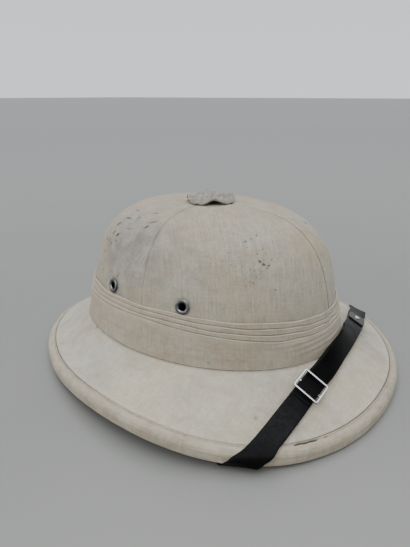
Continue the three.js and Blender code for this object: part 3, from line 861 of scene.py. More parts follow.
@dataclass(frozen=True)
class SewingThread:
    """Twisted cotton thread."""

    base: Colour = (0.5, 0.45, 0.36)
    dark: Colour = (0.3, 0.26, 0.2)

    def build(self) -> bpy.types.Material:
        """Makes the material."""
        graph = Finish("sewing_thread")
        tone = graph.noise(1.2, 2.0, 0.6)
        colour = graph.mix(graph.span(tone, 0.3, 0.7), self.dark, self.base)
        return graph.done(colour, 0.85, (tone, 0.05, 0.5), sheen_weight=0.1)


@dataclass(frozen=True)
class PaleFloor:
    """Plain pale studio floor."""

    base: Colour = (0.29, 0.297, 0.286)

    def build(self) -> bpy.types.Material:
        """Makes the material."""
        graph = Finish("studio_floor")
        dark = tuple(0.97 * part for part in self.base)
        colour = graph.mix(graph.span(graph.noise(160.0, 3.0, 0.5), 0.35, 0.65), dark, self.base)
        return graph.done(colour, 0.32, specular_ior_level=0.5)


class Wardrobe:
    """Every finish, built once and shared by the pieces."""

    def __init__(self) -> None:
        """Builds the materials."""
        self.crown = DrillCloth("crown_drill", (0.442, 0.388, 0.291), (0.385, 0.303, 0.214),
                                (0.436, 0.418, 0.345), rib=1.05, streak=0.85, blotch=45.0,
                                mottle=0.04).build()
        self.brim = DrillCloth("brim_drill", (0.578, 0.532, 0.418), (0.487, 0.41, 0.305), (0.55, 0.537, 0.45),
                               rib=0.9, streak=0.4, blotch=48.0, mottle=0.055).build()
        self.binding = DrillCloth("binding_drill", (0.41, 0.36, 0.268), (0.32, 0.255, 0.178),
                                  (0.44, 0.4, 0.315), rib=1.3, streak=0.9, blotch=30.0, mottle=0.08).build()
        self.band = DrillCloth("band_drill", (0.42, 0.363, 0.275), (0.36, 0.285, 0.202), (0.44, 0.4, 0.32),
                               rib=0.9, streak=0.5, blotch=44.0, mottle=0.05).build()
        self.cap = DrillCloth("cap_drill", (0.335, 0.312, 0.255), (0.27, 0.24, 0.19), (0.32, 0.305, 0.265),
                              rib=0.9, streak=0.5, blotch=16.0, mottle=0.08).build()
        self.leather = StrapLeather().build()
        self.steel = Metal("buckle_steel", (0.84, 0.84, 0.85), 0.12, (0.42, 0.41, 0.39)).build()
        self.nickel = Metal("eyelet_nickel", (0.3, 0.31, 0.32), 0.2, (0.08, 0.08, 0.08), 0.7).build()
        self.lacquer = PaintedMetal().build()
        self.pith = PressedPith().build()
        self.thread = SewingThread().build()


# Crown --------------------------------------------------------------------------------------------


@dataclass(frozen=True)
class Mark:
    """A dirty spot on the crown.

    Attributes:
        angle: Direction in degrees.
        height: Height above the crown's foot.
        length: Half of its length.
        width: Half of its width.
        tilt: Turn of its length from level, in degrees.
        strength: How dark it is, 0 to 1.
    """

    angle: float
    height: float
    length: float
    width: float
    tilt: float
    strength: float

    def darkness(self, points: Array) -> Array:
        """How dark it makes each point."""
        centre = FORM.crown_place(self.angle, self.height)
        level = unit(FORM.crown_place(self.angle + math.degrees(0.01), self.height) - centre)
        uphill = unit(FORM.crown_place(self.angle, self.height + 0.5) - centre)
        cos, sin = math.cos(math.radians(self.tilt)), math.sin(math.radians(self.tilt))
        away = points - centre
        along = away @ (level * cos + uphill * sin) / (self.length + 0.2)
        across = away @ (uphill * cos - level * sin) / (self.width + 0.25)
        depth = away @ np.cross(level, uphill) / 12
        return (0.38 + 0.6 * self.strength) * np.exp(-along ** 4 - across ** 2 - depth ** 2)


@dataclass(frozen=True)
class Seam:
    """How a seam between two quarters looks.

    Attributes:
        groove: Its depth.
        width: Half width of its dark line.
        tone: How dark that line is, 0 to 1.
        gap: Distance between the two quarters.
        foot_tone: Share of the darkness that is left at the crown's foot.
    """

    groove: float
    width: float
    tone: float
    gap: float = 0.3
    foot_tone: float = 1.0


@dataclass(frozen=True)
class Quarter:
    """A quarter of the crown, with the directions of its two seams and its eyelet in degrees."""

    side: str
    first: int
    last: int
    eyelet: float
    eyelet_height: float = 41.8

    def frame(self) -> Array:
        """Frame with z out of the crown at the eyelet."""
        place = np.array(math.radians(self.eyelet)), np.array(self.eyelet_height)
        skin = partial(FORM.crown, offset=0.0)
        return frame_at(skin(*place), np.array([0.0, 0.0, 1.0]), surface_normal(skin, *place))


@dataclass
class Crown:
    """Shell, four cloth quarters with their seams and eyelets, and the ventilator cap.

    Attributes:
        finishes: The materials.
        rows: Rows of points from the foot of a quarter to its top.
        column_step: Distance between the columns away from the seams.
        near_seam: Distances of the first columns from a seam.
        seams: Look of the seam at each direction, in degrees.
        seam_ridge: Height of the folded edges beside them.
        crowding: Where small specks crowd: direction, height, radius and amount.
    """

    finishes: Wardrobe
    rows: int = 176
    column_step: float = 1.1
    near_seam: tuple[float, ...] = (0, 0.18, 0.36, 0.58, 0.85, 1.2, 1.65, 2.2, 2.9, 3.7, 4.6, 5.6, 6.7)
    seams: dict[int, Seam] = field(default_factory=lambda: {
        0: Seam(0.5, 0.65, 0.65), -90: Seam(0.12, 2.3, 0.3, 0.06, 0.12), 90: Seam(0.3, 1.4, 0.2, 0.15, 0.4),
        180: Seam(0.5, 0.7, 0.4)})
    quarter_length: float = 152.0
    seam_ridge: float = 0.22
    eyelet_radius: float = 5.5
    hole_radius: float = 2.8
    drill_radius: float = 4.0
    cap_radius: float = 20.2
    cap_lobe: float = 0.8
    cap_rise: float = 5.6
    cap_arch: float = 3.2
    cap_stem: float = 5.5
    crowding: tuple[tuple[float, ...], ...] = (
        (-42, 78, 24, 0.45), (-115, 80, 30, 0.75), (-60, 60, 26, 0.15), (18, 80, 20, 0.3), (120, 70, 40, 0.3))
    quarters: tuple[Quarter, ...] = (
        Quarter("right_front", -90, 0, -71.4), Quarter("right_back", 180, -90, -108.6),
        Quarter("left_back", 90, 180, 108.6), Quarter("left_front", 0, 90, 71.4))
    marks: tuple[Mark, ...] = tuple(Mark(*row) for row in (
        (-42.3, 85.7, 1.1, 0.75, 20, 0.75), (-38.4, 87, 1.5, 0.6, 10, 0.6), (-34, 88.9, 1.1, 0.7, 30, 0.75),
        (-37.7, 74.3, 1.7, 0.7, -45, 0.9), (-36, 72.2, 1.5, 0.9, -40, 0.95),
        (-33.7, 71.3, 1.3, 0.7, 15, 0.85), (-31.5, 74.7, 1.6, 0.5, 30, 0.6),
        (-33.2, 75.6, 1.2, 0.5, -30, 0.45), (-34.8, 69.6, 1.2, 0.5, 0, 0.4),
        (-40.4, 72.5, 1.2, 0.5, 10, 0.45), (-46, 71.5, 0.9, 0.5, 0, 0.35), (-32.7, 55.4, 0.7, 0.9, 90, 0.8),
        (-36.5, 90.5, 1, 0.5, 40, 0.35), (20.9, 87.4, 2, 1, 5, 0.9), (15.2, 71, 0.9, 0.8, 0, 0.5),
        (22.5, 82.5, 0.8, 0.6, 0, 0.3), (-123.4, 89, 4.4, 0.95, 25, 0.91),
        (-127.9, 93.7, 3.2, 0.85, 25, 0.72), (-126.3, 83.6, 3.2, 1.1, 50, 0.95),
        (-118.4, 77.6, 2.8, 1.2, 45, 0.95), (-124, 77.5, 2.9, 1.1, 60, 0.91),
        (-128.2, 70.8, 2, 1.1, 75, 0.95), (-124.6, 71.5, 2.1, 0.95, 70, 0.78),
        (-121.5, 70, 1.7, 1.1, 80, 0.72), (-117, 73.5, 1.6, 1.4, 60, 0.72),
        (-125.8, 61.9, 1.7, 0.85, 70, 0.72), (-113, 84, 2.5, 0.75, 30, 0.66),
        (-100.1, 88.2, 2.3, 1.1, 50, 0.95), (-99, 91.5, 4.2, 0.85, 30, 0.63),
        (-107.3, 95.6, 2.5, 0.85, 20, 0.66), (-115, 91.5, 2.3, 1.1, 60, 0.78),
        (-106.9, 50.2, 0.95, 1.1, 90, 0.91), (-121, 48, 0.84, 1.8, 90, 0.66),
        (-126, 50.5, 0.73, 1.6, 90, 0.63)))

    def columns(self) -> Array:
        """Shares of a quarter's width, closest together beside the seams."""
        near = np.array(self.near_seam)
        end = (self.quarter_length - self.column_step) / 2
        left = np.concatenate([near, np.arange(near[-1] + self.column_step, end, self.column_step)])
        return np.concatenate([left / self.quarter_length, 1 - (left / self.quarter_length)[::-1]])

    def seam_relief(self, groove: Array, distance: Array, along: Array) -> Array:
        """Height of the cloth beside a seam.

        Args:
            groove: Depth of the seam.
            distance: Distance from it.
            along: Place along it.

        Returns:
            Heights in millimetres.
        """
        ridge = self.seam_ridge * ease(0.2, 1.2, distance) * (1 - ease(4.5, 7.5, distance))
        pucker = 0.1 * np.sin(along * TAU / 8.3 + 1.3 * np.sin(along / 9.0)) * np.exp(-distance / 5.0)
        return -groove * hump(distance, 0, 0.55) + ridge + pucker * ease(0.3, 2.0, distance)

    def flecks(self, points: Array) -> Array:
        """How crowded the small specks are at each point of the crown."""
        return 0.1 + dotted(points, ((FORM.crown_place(degrees, height), radius, amount)
                                     for degrees, height, radius, amount in self.crowding))

    @staticmethod
    def stain(points: Array) -> Array:
        """Greyness of the cloth, mostly over the right back quarter."""
        distance = np.linalg.norm((points - FORM.crown_place(-106, 74)) * [0.85, 1.0, 1.0], axis=-1)
        patch = 0.4 * hump(distance, 0, 30) + 0.18 * hump(distance, 0, 60)
        cloudy = 0.9 + 0.18 * Undulation(5, 24.0).at(points) + 0.1 * Undulation(6, 8.0).at(points)
        return np.clip(patch * cloudy, 0, 0.8)

    def quarter(self, quarter: Quarter) -> None:
        """Makes one cloth quarter, with the hole for its eyelet."""
        start = math.radians(quarter.first)
        share = self.columns()
        angle, level = np.meshgrid(start + share * math.pi / 2,
                                   np.concatenate([[0.0], FORM.crown_levels(self.rows, 0.012)]))
        base = FORM.crown_row(angle, level, 0.0)
        step = np.linalg.norm(np.diff(base, axis=0), axis=-1)
        climb = np.concatenate([np.zeros((1, len(share))), np.cumsum(step, axis=0)])
        from_first, from_last = (np.linalg.norm(base - side, axis=-1) for side in (base[:, :1], base[:, -1:]))
        nearest = np.minimum(from_first, from_last)
        first_seam, last_seam = self.seams[quarter.first], self.seams[quarter.last]

        def of_seam(part: str) -> Array:
            """A size of the nearer seam at each point."""
            return np.where(from_first < from_last, getattr(first_seam, part), getattr(last_seam, part))

        frame = quarter.frame()
        local = (base - frame[:3, 3]) @ frame[:3, :3]
        away = np.hypot(local[..., 0], local[..., 1])
        relief = self.seam_relief(of_seam("groove"), nearest, climb)
        relief += 0.3 * Undulation(11, 46.0).at(base) * ease(2, 14, nearest)
        relief += 0.1 * Undulation(12, 13.0).at(base) * ease(2, 10, nearest)
        relief += 0.12 * np.cos(9 * np.arctan2(local[..., 1], local[..., 0])) * hump(away, 6.5, 2.4)
        relief -= 0.35 * hump(away, 5.0, 2.2)
        outer, inner = FORM.crown_row(angle, level, relief), FORM.crown_row(angle, level, -FORM.cloth)
        inward = np.zeros_like(share)
        inward[0], inward[-1] = first_seam.gap / 2, -last_seam.gap / 2
        for layer in (outer, inner):
            layer[..., 0] -= inward * np.sin(angle)
            layer[..., 1] += inward * np.cos(angle)
        middle = start + math.pi / 4
        across = base @ [-math.sin(middle), math.cos(middle), 0.0]
        uneven = np.clip(0.85 + 0.25 * Undulation(21, 14.0).at(base), 0.3, 1.2)
        foot_tone = of_seam("foot_tone")
        tone = of_seam("tone") * (foot_tone + (1 - foot_tone) * ease(0.45, 0.85, level))
        # Painted shade: a dark ring just outside each eyelet and a faint dark line at the height of the
        # pugaree's top edge.
        painted_shade = 0.22 * hump(away, 6.0, 1.1) + 0.08 * hump(level * FORM.rise, 34.0, 3.0)
        values = {
            "soil_and_shade": np.clip(tone * uneven * hump(nearest, 0, of_seam("width")) + painted_shade, 0, 1),
            "marks": np.clip(sum(mark.darkness(base) for mark in self.marks), 0, 1),
            "flecks": self.flecks(base),
            "stain": self.stain(base),
            "wear_and_highlight": 0.12 * hump(nearest, 1.7, 0.8),
        }
        cell = (local[:-1, :-1] + local[1:, 1:]) / 2
        keep = (np.hypot(cell[..., 0], cell[..., 1]) > self.drill_radius) | (np.abs(cell[..., 2]) > 15)
        uv = np.stack([across, climb + FORM.foot_height], axis=-1) * MM
        grid = sheet_grid(outer, inner, uv, values, keep)
        dress(grid.to_object(f"cloth_quarter_{quarter.side}"), self.finishes.crown, Slot.CROWN_CLOTH,
              f"crown_panel_{quarter.side}")

    def eyelet(self, quarter: Quarter) -> None:
        """Makes one rolled metal eyelet."""
        hole, outer = self.hole_radius, self.eyelet_radius
        profile = [(hole, FORM.inside - 0.4), (hole + 0.9, FORM.inside - 0.4), (hole + 0.9, 0.2),
                   (outer - 0.3, 0.2), (outer, 0.3), *arc((outer - 0.75, 0.55), (0.75, 0.6), -10, 90, 9),
                   *arc((hole + 1.3, 0.1), (1.3, 1.1), 90, 180, 9)[1:], (hole, -1.2), (hole, -3.0)]
        dress(lathe_grid(profile, 48, quarter.frame()).to_object(f"rolled_eyelet_{quarter.side}"),
              self.finishes.nickel, Slot.NICKEL, f"vent_eyelet_{quarter.side}")

    def drill(self, item: bpy.types.Object) -> None:
        """Drills the holes for the eyelets through the shell."""
        drills = bmesh.new()
        radius = (self.hole_radius + 1.2) * MM
        for quarter in self.quarters:
            matrix = to_matrix(quarter.frame()) @ Matrix.Translation((0, 0, -3 * MM))
            bmesh.ops.create_cone(drills, cap_ends=True, segments=32, radius1=radius, radius2=radius,
                                  depth=20 * MM, matrix=matrix)
        cutter = new_object("drills")
        drills.to_mesh(cutter.data)
        drills.free()
        cut = item.modifiers.new("drill", "BOOLEAN")
        cut.operation, cut.solver, cut.object = "DIFFERENCE", "EXACT", cutter
        bake_modifiers(item)
        bpy.data.meshes.remove(cutter.data)

    def shell(self) -> None:
        """Makes the pith shell, drilled for the eyelets."""
        angle = turns_of(240)
        outside, inside = FORM.outside, FORM.inside
        rows = [FORM.crown_row(angle, level, outside) for level in FORM.crown_levels(40, 0.0)[::-1]]
        rows.append(FORM.foot(angle, FORM.foot_offset - 0.4, outside))
        rows += [FORM.brim(angle, share, outside) for share in np.linspace(0.1, 0.8, 8)]
        rim = [
            FORM.near_edge(angle, FORM.binding_width, outside),
            FORM.near_edge(angle, 2.6, outside),
            FORM.rim(angle, -outside, -2.7),
            FORM.rim(angle, -outside, -6.6),
            FORM.rim(angle, 2.8, -outside - FORM.rim_height),
            FORM.rim(angle, FORM.binding_width + 1.2, -outside - FORM.rim_height),
            FORM.brim(angle, 0.7, inside),
        ]
        rows += rounded(rim, [0, 1, 1, 1, 1, 4, 0], 3)
        rows += [FORM.brim(angle, share, inside) for share in (0.6, 0.5, 0.4, 0.3, 0.2)]
        corner = [FORM.brim(angle, 0.12, inside), FORM.foot(angle, inside, inside + 0.4),
                  FORM.crown_row(angle, 0.12, inside)]
        rows += rounded(corner, [0, 5, 0], 6)
        rows += [FORM.crown_row(angle, level, inside) for level in FORM.crown_levels(36, 0.15)]
        item = ring_grid(rows).to_object("pressed_shell")
        self.drill(item)
        dress(item, self.finishes.pith, Slot.PITH, "pith_shell")

    def cap(self) -> None:
        """Makes the crumpled cloth cap, whose four lobes rest over the seams."""
        radius, stem = self.cap_radius, self.cap_stem
        under = [(0.05, -6), (stem, -6), (stem, 2.4), (9, 2.5), (12, 2.3), (15, 1.8), (17, 1.2),
                 (radius - 2.2, 0.5), (radius - 1.2, 0.3)]
        hem = [(radius - 0.4, 0.3), (radius + 0.15, 0.6), (radius + 0.35, 1.1), (radius + 0.2, 1.7),
               (radius - 0.4, 2.3), (radius - 1.2, 2.75)]
        top = [(radius * share, self.cap_rise + 0.1 - (self.cap_rise - 2.4) * share ** 2.6)
               for share in np.linspace(0.92, 0.06, 26)]
        turn = turns_of(160)
        opening = ((1 - np.cos(4 * turn)) / 2) ** 2.2
        rows, soil_and_shade, wear_and_highlight = [], [], []
        for index, (reach, height) in enumerate([*under, *hem, *top, (0.05, self.cap_rise + 0.1)]):
            outside = index >= len(under)
            skirt = float(ease(stem, radius, reach))
            spread = 1 + (self.cap_lobe / radius) * np.cos(4 * turn) * skirt
            flat = np.stack([reach * spread * np.cos(turn), reach * spread * np.sin(turn)], axis=-1)
            crumple = 0.4 * Undulation(31, 10.0).at(flat) + 0.38 * Undulation(32, 4.5).at(flat)
            z = height + self.cap_arch * opening * skirt * (1.15 if height < 2.6 else 0.7)
            # Painted shade: the cap's underside starts dark.
            dirt_and_shade, sheen_and_wear = np.full_like(turn, 0.75), np.zeros_like(turn)
            if outside:
                fold = 0.35 * np.cos(13 * turn + 1.2 * np.sin(3 * turn)) * skirt
                lift = (crumple + fold) * (ease(2.0, 9.0, reach) * 0.8 + 0.2)
                z = z + (np.maximum(lift, -0.15) if height < 2.5 else lift)
                z = z + 2.1 * hump(np.linalg.norm(flat + [2.0, 1.5], axis=-1), 0.0, 13.0)
                # Slight soiling, painted shade in the crumples' hollows, and the hem darker towards its
                # bottom, painted shade and soiling.
                dirt_and_shade = 0.04 + 0.14 * ease(-0.1, -0.6, crumple) + 0.42 * skirt * ease(1.4, 0.4, height)
                dirt_and_shade = np.clip(dirt_and_shade, 0, 0.5)
                # Painted highlight on the crumples' crests.
                sheen_and_wear = np.clip(0.35 * crumple, 0, 0.3)
            z = z + FORM.foot_height + FORM.rise
            rows.append(np.stack([flat[:, 0] + FORM.crown_x, flat[:, 1], z], axis=-1))
            soil_and_shade.append(dirt_and_shade)
            wear_and_highlight.append(sheen_and_wear)
        values = {"soil_and_shade": np.stack(soil_and_shade), "wear_and_highlight": np.stack(wear_and_highlight),
                  "stain": np.full((len(rows), len(turn)), 0.22)}
        item = ring_grid(rows, values, planar=True).to_object("ventilator_button", 70)
        dress(item, self.finishes.cap, Slot.CROWN_CLOTH, "ventilator_cap")

    def build(self) -> None:
        """Makes every piece of the crown."""
        self.shell()
        for quarter in self.quarters:
            self.quarter(quarter)
            self.eyelet(quarter)
        self.cap()


# Brim ---------------------------------------------------------------------------------------------


@dataclass(frozen=True)
class Slit:
    """A torn place in the brim's stitching, from one direction to another, in degrees."""

    start: float
    end: float
    inset: float
    width: float
    strength: float

    def tear(self, degrees: Array, inset: float) -> tuple[Array, Array]:
        """How torn the cloth is and how far its lips stand up, at one distance from the edge."""
        away = np.abs(inset - (self.inset + 0.16 * np.sin(degrees * 2.4) + 0.1 * np.sin(degrees * 5.7)))
        inside = ease(self.start - 0.35, self.start + 0.5, degrees) * (
            1 - ease(self.end - 0.5, self.end + 0.35, degrees))
        gash = inside * np.exp(-(away / self.width) ** 3)
        return self.strength * gash, self.strength * inside * hump(away, 0.75, 0.3)


class StitchRow(Recipe):
    """Geometry Nodes tree that lays stitches along a line."""

    def __init__(self) -> None:
        """Builds the tree."""
        super().__init__("stitch_row", "Thread", "Pitch", "Stitch Length", "Thread Radius")
        given = self.given
        line = self.add("GeometryNodeMeshToCurve", {0: given["Geometry"]})
        spaced = self.add("GeometryNodeResampleCurve", {"Curve": line.outputs[0], "Length": given["Pitch"]},
                          mode="LENGTH")
        stitch = self.add("GeometryNodeCurvePrimitiveLine",
                          {"Direction": (1, 0, 0), "Length": given["Stitch Length"]}, mode="DIRECTION")
        bend = self.add("GeometryNodeResampleCurve", {"Curve": stitch.outputs[0], "Count": 5})
        ring = self.add("GeometryNodeCurvePrimitiveCircle",
                        {"Resolution": 6, "Radius": given["Thread Radius"]}, mode="RADIUS")
        tube = self.add("GeometryNodeCurveToMesh", {
            "Curve": bend.outputs[0], "Profile Curve": ring.outputs[0], "Fill Caps": True})
        tangent = self.add("GeometryNodeInputTangent")
        turn = self.add("FunctionNodeAlignRotationToVector", {"Vector": tangent.outputs[0]}, axis="X")
        scatter = self.add("GeometryNodeInstanceOnPoints", {
            "Points": spaced.outputs[0], "Instance": tube.outputs[0], "Rotation": turn.outputs[0]})
        self.end_with(scatter.outputs[0])


@dataclass
class Brim:
    """Cloth cover of the brim, the binding round its rim, and the sewing between them.

    Attributes:
        finishes: The materials.
        turns: Points round the helmet.
        stitch_pitch: Distance between stitches.
        stitch_length: Length of a stitch.
        stitch_radius: Radius of the thread.
        stitch_inset: Distance of the stitches from the brim's edge.
        cord_pitch: Distance between the faint ribs beside the binding.
        slits: The torn places.
        specks: Small spots: direction in degrees, share of the brim's width, radius and strength.
    """

    finishes: Wardrobe
    turns: int = 660
    stitch_pitch: float = 3.1
    stitch_length: float = 2.2
    stitch_radius: float = 0.2
    stitch_inset: float = 5.7
    cord_pitch: float = 1.9
    slits: tuple[Slit, ...] = (Slit(-32.3, -26.1, 5.6, 0.55, 1.0), Slit(-24.4, -23.2, 5.4, 0.35, 0.75),
                               Slit(-22.6, -21.9, 5.2, 0.3, 0.45))
    specks: tuple[tuple[float, float, float, float], ...] = (
        (-42.0, 0.57, 1.3, 0.6), (-6.8, 0.985, 1.2, 0.6), (-11.1, 0.88, 0.9, 0.4), (-118.0, 0.03, 1.4, 0.45),
        (-74.0, 0.98, 3.0, 0.3), (-93.0, 0.5, 0.8, 0.25), (-60.0, 0.7, 0.8, 0.25))

    def __post_init__(self) -> None:
        """Works out the turns and how closely the binding's seam is drawn together, from 0 to 1."""
        self.angle = turns_of(self.turns)
        self.degrees = signed_degrees(self.angle)
        self.shut = np.clip(hump(self.degrees, -64, 44) + 0.3 * hump(self.degrees, 150, 40), 0, 1)
        self.clean = np.zeros_like(self.angle)

    def speckle(self, points: Array) -> Array:
        """Darkness of the small spots on the brim."""
        return dotted(points, ((FORM.brim_surface(np.array(math.radians(degrees)), across), radius, strength)
                               for degrees, across, radius, strength in self.specks))

    def cover(self) -> None:
        """Makes the cloth over the brim."""
        angle, shut, clean = self.angle, self.shut, self.clean
        width = FORM.brim_width(angle)
        edge = FORM.binding_width + FORM.gap * (1 - 0.85 * shut)
        low = 1 - (edge + 0.5) / width
        rows, soil_and_shade, wear_and_highlight = [], [], []
        for share in np.concatenate([np.linspace(0.0, 0.76, 36), np.linspace(0.768, 1.0, 34)]):
            across = share * low
            flat = FORM.brim_surface(angle, across)
            from_seam = (1 - across) * width - edge
            relief = 0.28 * Undulation(41, 52.0).at(flat) + 0.08 * Undulation(42, 15.0).at(flat)
            relief *= ease(0, 6, across * width) * ease(0, 6, from_seam)
            cords = hump(self.degrees, -74, 38) * hump(from_seam, 3.0, 4.6)
            wave = np.cos(from_seam * TAU / self.cord_pitch)
            valley = ease(0.1, 1.0, -wave)
            rows.append(FORM.brim(angle, across, relief + 0.16 * cords * wave))
            # Painted shadow in a thin line where the brim meets the crown's foot, painted shade in the cords'
            # valleys, painted highlight on their crests, and a lighter strip beside the seam; the specks are
            # real spots.
            soil_and_shade.append(self.speckle(flat) + 0.4 * hump(across * width, 0, 0.9) + 0.09 * cords * valley)
            wear_and_highlight.append(0.1 * hump(from_seam, 1.5, 1.5) + 0.15 * cords * (1 - valley))
        rows += [FORM.near_edge(angle, inset, offset * (1 - 0.6 * shut) - 0.05 * shut)
                 for inset, offset in ((edge + 0.25, -0.08), (edge + 0.08, -0.28), (edge, -0.55))]
        rows.append(FORM.near_edge(angle, edge, -FORM.cloth))
        rows += [FORM.brim(angle, share, -FORM.cloth) for share in (0.75, 0.5, 0.25)]
        rows += [FORM.foot(angle, offset, rise) for offset, rise in (
            (FORM.foot_offset - 0.3, -FORM.cloth), (FORM.gap, -FORM.cloth), (FORM.gap, 0.0))]
        # Painted shade on the cover's edge as it turns down into the seam gap, darker where the seam is open.
        soil_and_shade += [0.5 - 0.42 * shut] * 4 + [clean] * 6
        wear_and_highlight += [clean] * 10
        values = {"soil_and_shade": np.clip(np.stack(soil_and_shade), 0, 1), "wear_and_highlight": np.stack(wear_and_highlight),
                  "stain": np.clip(0.12 + 0.12 * Undulation(43, 60.0).at(np.stack(rows)), 0, 0.3)}
        item = ring_grid(rows, values, planar=True).to_object("brim_cloth_cover")
        dress(item, self.finishes.brim, Slot.BRIM_CLOTH, "brim_cover")

    def binding(self) -> None:
        """Makes the cloth folded round the rim, with its torn stitching."""
        angle, width, foot = self.angle, FORM.binding_width, -FORM.rim_height
        edge = FORM.edge(angle)
        # Painted shade on the binding's wall of the seam gap, darker where the seam is open.
        dark = 1 - 0.85 * self.shut
        starts = ((width, -1.0, 0.75), (width, -0.55, 0.7), (width - 0.08, -0.2, 0.6),
                  (width - 0.25, 0.02, 0.14))
        rows = [FORM.near_edge(angle, inset, offset) for inset, offset, _ in starts]
        soil_and_shade = [dirt_and_shade * dark for _, _, dirt_and_shade in starts]
        for inset in np.concatenate([np.arange(6.4, 4.4, -0.22), np.arange(4.2, 2.3, -0.45)]):
            relief = 0.12 + 0.05 * Undulation(51, 9.0).at(edge) - 0.16 * hump(inset, self.stitch_inset, 0.5)
            dirt_and_shade = self.clean + 0.05 * hump(inset, self.stitch_inset, 0.4)
            for slit in self.slits:
                gash, lips = slit.tear(self.degrees, inset)
                relief = relief - 0.95 * gash + 0.16 * lips
                # Painted shade in the torn openings.
                dirt_and_shade = dirt_and_shade + 0.95 * gash
            rows.append(FORM.near_edge(angle, inset, relief))
            soil_and_shade.append(dirt_and_shade)
        corners = [FORM.near_edge(angle, 2.3, 0.08), FORM.near_edge(angle, 1.3, -0.05)]
        corners += [FORM.rim(angle, inset, rise) for inset, rise in (
            (0.0, -1.6), (-0.02, -4.6), (0.0, -7.4), (1.5, foot), (4.0, foot))]
        faces = rounded(corners, [0, 1.0, 1.0, 1.4, 1.0, 1.0, 0], 4)
        outward = unit(edge * [1, 1, 0] - [FORM.crown_x, 0, 0])
        wobble = Undulation(52, 24.0).at(edge)[:, None] * outward
        for index, row in enumerate(faces):
            bulge = math.sin(math.pi * index / (len(faces) - 1))
            rows.append(row + 0.14 * bulge * wobble)
            scuff = 0.1 * ease(-7.0, -9.0, row[:, 2] - edge[:, 2])
            soil_and_shade.append(0.7 * (scuff + 0.14 * np.clip(Undulation(53, 17.0).at(row), 0, 1) * bulge))
        rows += [FORM.rim(angle, inset, rise) for inset, rise in (
            (width, foot), (width, 1.0 + foot), (2.6, 1.0 + foot), (1.0, -6.7), (1.0, -2.5))]
        rows.append(FORM.near_edge(angle, 2.4, -1.0))
        soil_and_shade += [self.clean] * 6
        stack = np.stack(rows)
        # Painted light: the binding's top rows are lighter, as if lit from above.
        upper = hump(np.arange(len(rows)), 12.0, 8.0)[:, None]
        values = {"soil_and_shade": np.clip(np.stack(soil_and_shade), 0, 1),
                  "wear_and_highlight": np.clip(0.1 * Undulation(54, 30.0).at(stack) + 0.2 * upper, 0, 0.35),
                  "stain": np.zeros(stack.shape[:2])}
        item = ring_grid(rows, values, turned=True).to_object("rim_binding")
        dress(item, self.finishes.binding, Slot.BRIM_CLOTH, "brim_binding")

    def stitches(self) -> None:
        """Sews the binding down with a row of stitches that follows the rim."""
        angle = turns_of(480)
        degrees = signed_degrees(angle)
        line = FORM.near_edge(angle, self.stitch_inset, np.full_like(angle, 0.06)) * MM
        whole = np.all([(degrees <= slit.start - 0.6) | (degrees >= slit.end + 0.6)
                        for slit in self.slits], axis=0)
        edges = [(index, (index + 1) % len(angle)) for index in range(len(angle))
                 if whole[index] and whole[(index + 1) % len(angle)]]
        item = new_object("rim_stitching")
        item.data.from_pydata([tuple(map(float, point)) for point in line], edges, [])
        StitchRow().grow(item, self.finishes.thread, {
            "Pitch": self.stitch_pitch, "Stitch Length": self.stitch_length,
            "Thread Radius": self.stitch_radius})
        dress(item, self.finishes.thread, Slot.BRIM_CLOTH)

    def build(self) -> None:
        """Makes every piece of the brim."""
        self.cover()
        self.binding()
        self.stitches()


# Pugaree ------------------------------------------------------------------------------------------


@dataclass(frozen=True)
class Pleat:
    """A narrow layer of the wound cloth, and how far its lower and upper edges stand out."""

    place: str
    bottom: float
    top: float


@dataclass(frozen=True)
class Wrinkle:
    """A fold in the wide band, running from one place to another.

    Attributes:
        start: Direction of its first end, in degrees.
        low: Height of its first end.
        end: Direction of its other end, in degrees.
        high: Height of its other end.
        width: Its half width.
        height: How far it stands out.
    """

    start: float
    low: float
    end: float
    high: float
    width: float
    height: float

    def relief(self, degrees: Array, height: Array) -> Array:
        """Height of the fold at each place of the band."""
        share = (degrees - self.start) / (self.end - self.start)
        middle = self.low + (self.high - self.low) * share + 0.8 * np.sin(share * math.pi)
        ends = ease(-0.05, 0.3, share) * (1 - ease(0.7, 1.05, share))
        return self.height * ends * hump(height, middle, self.width)


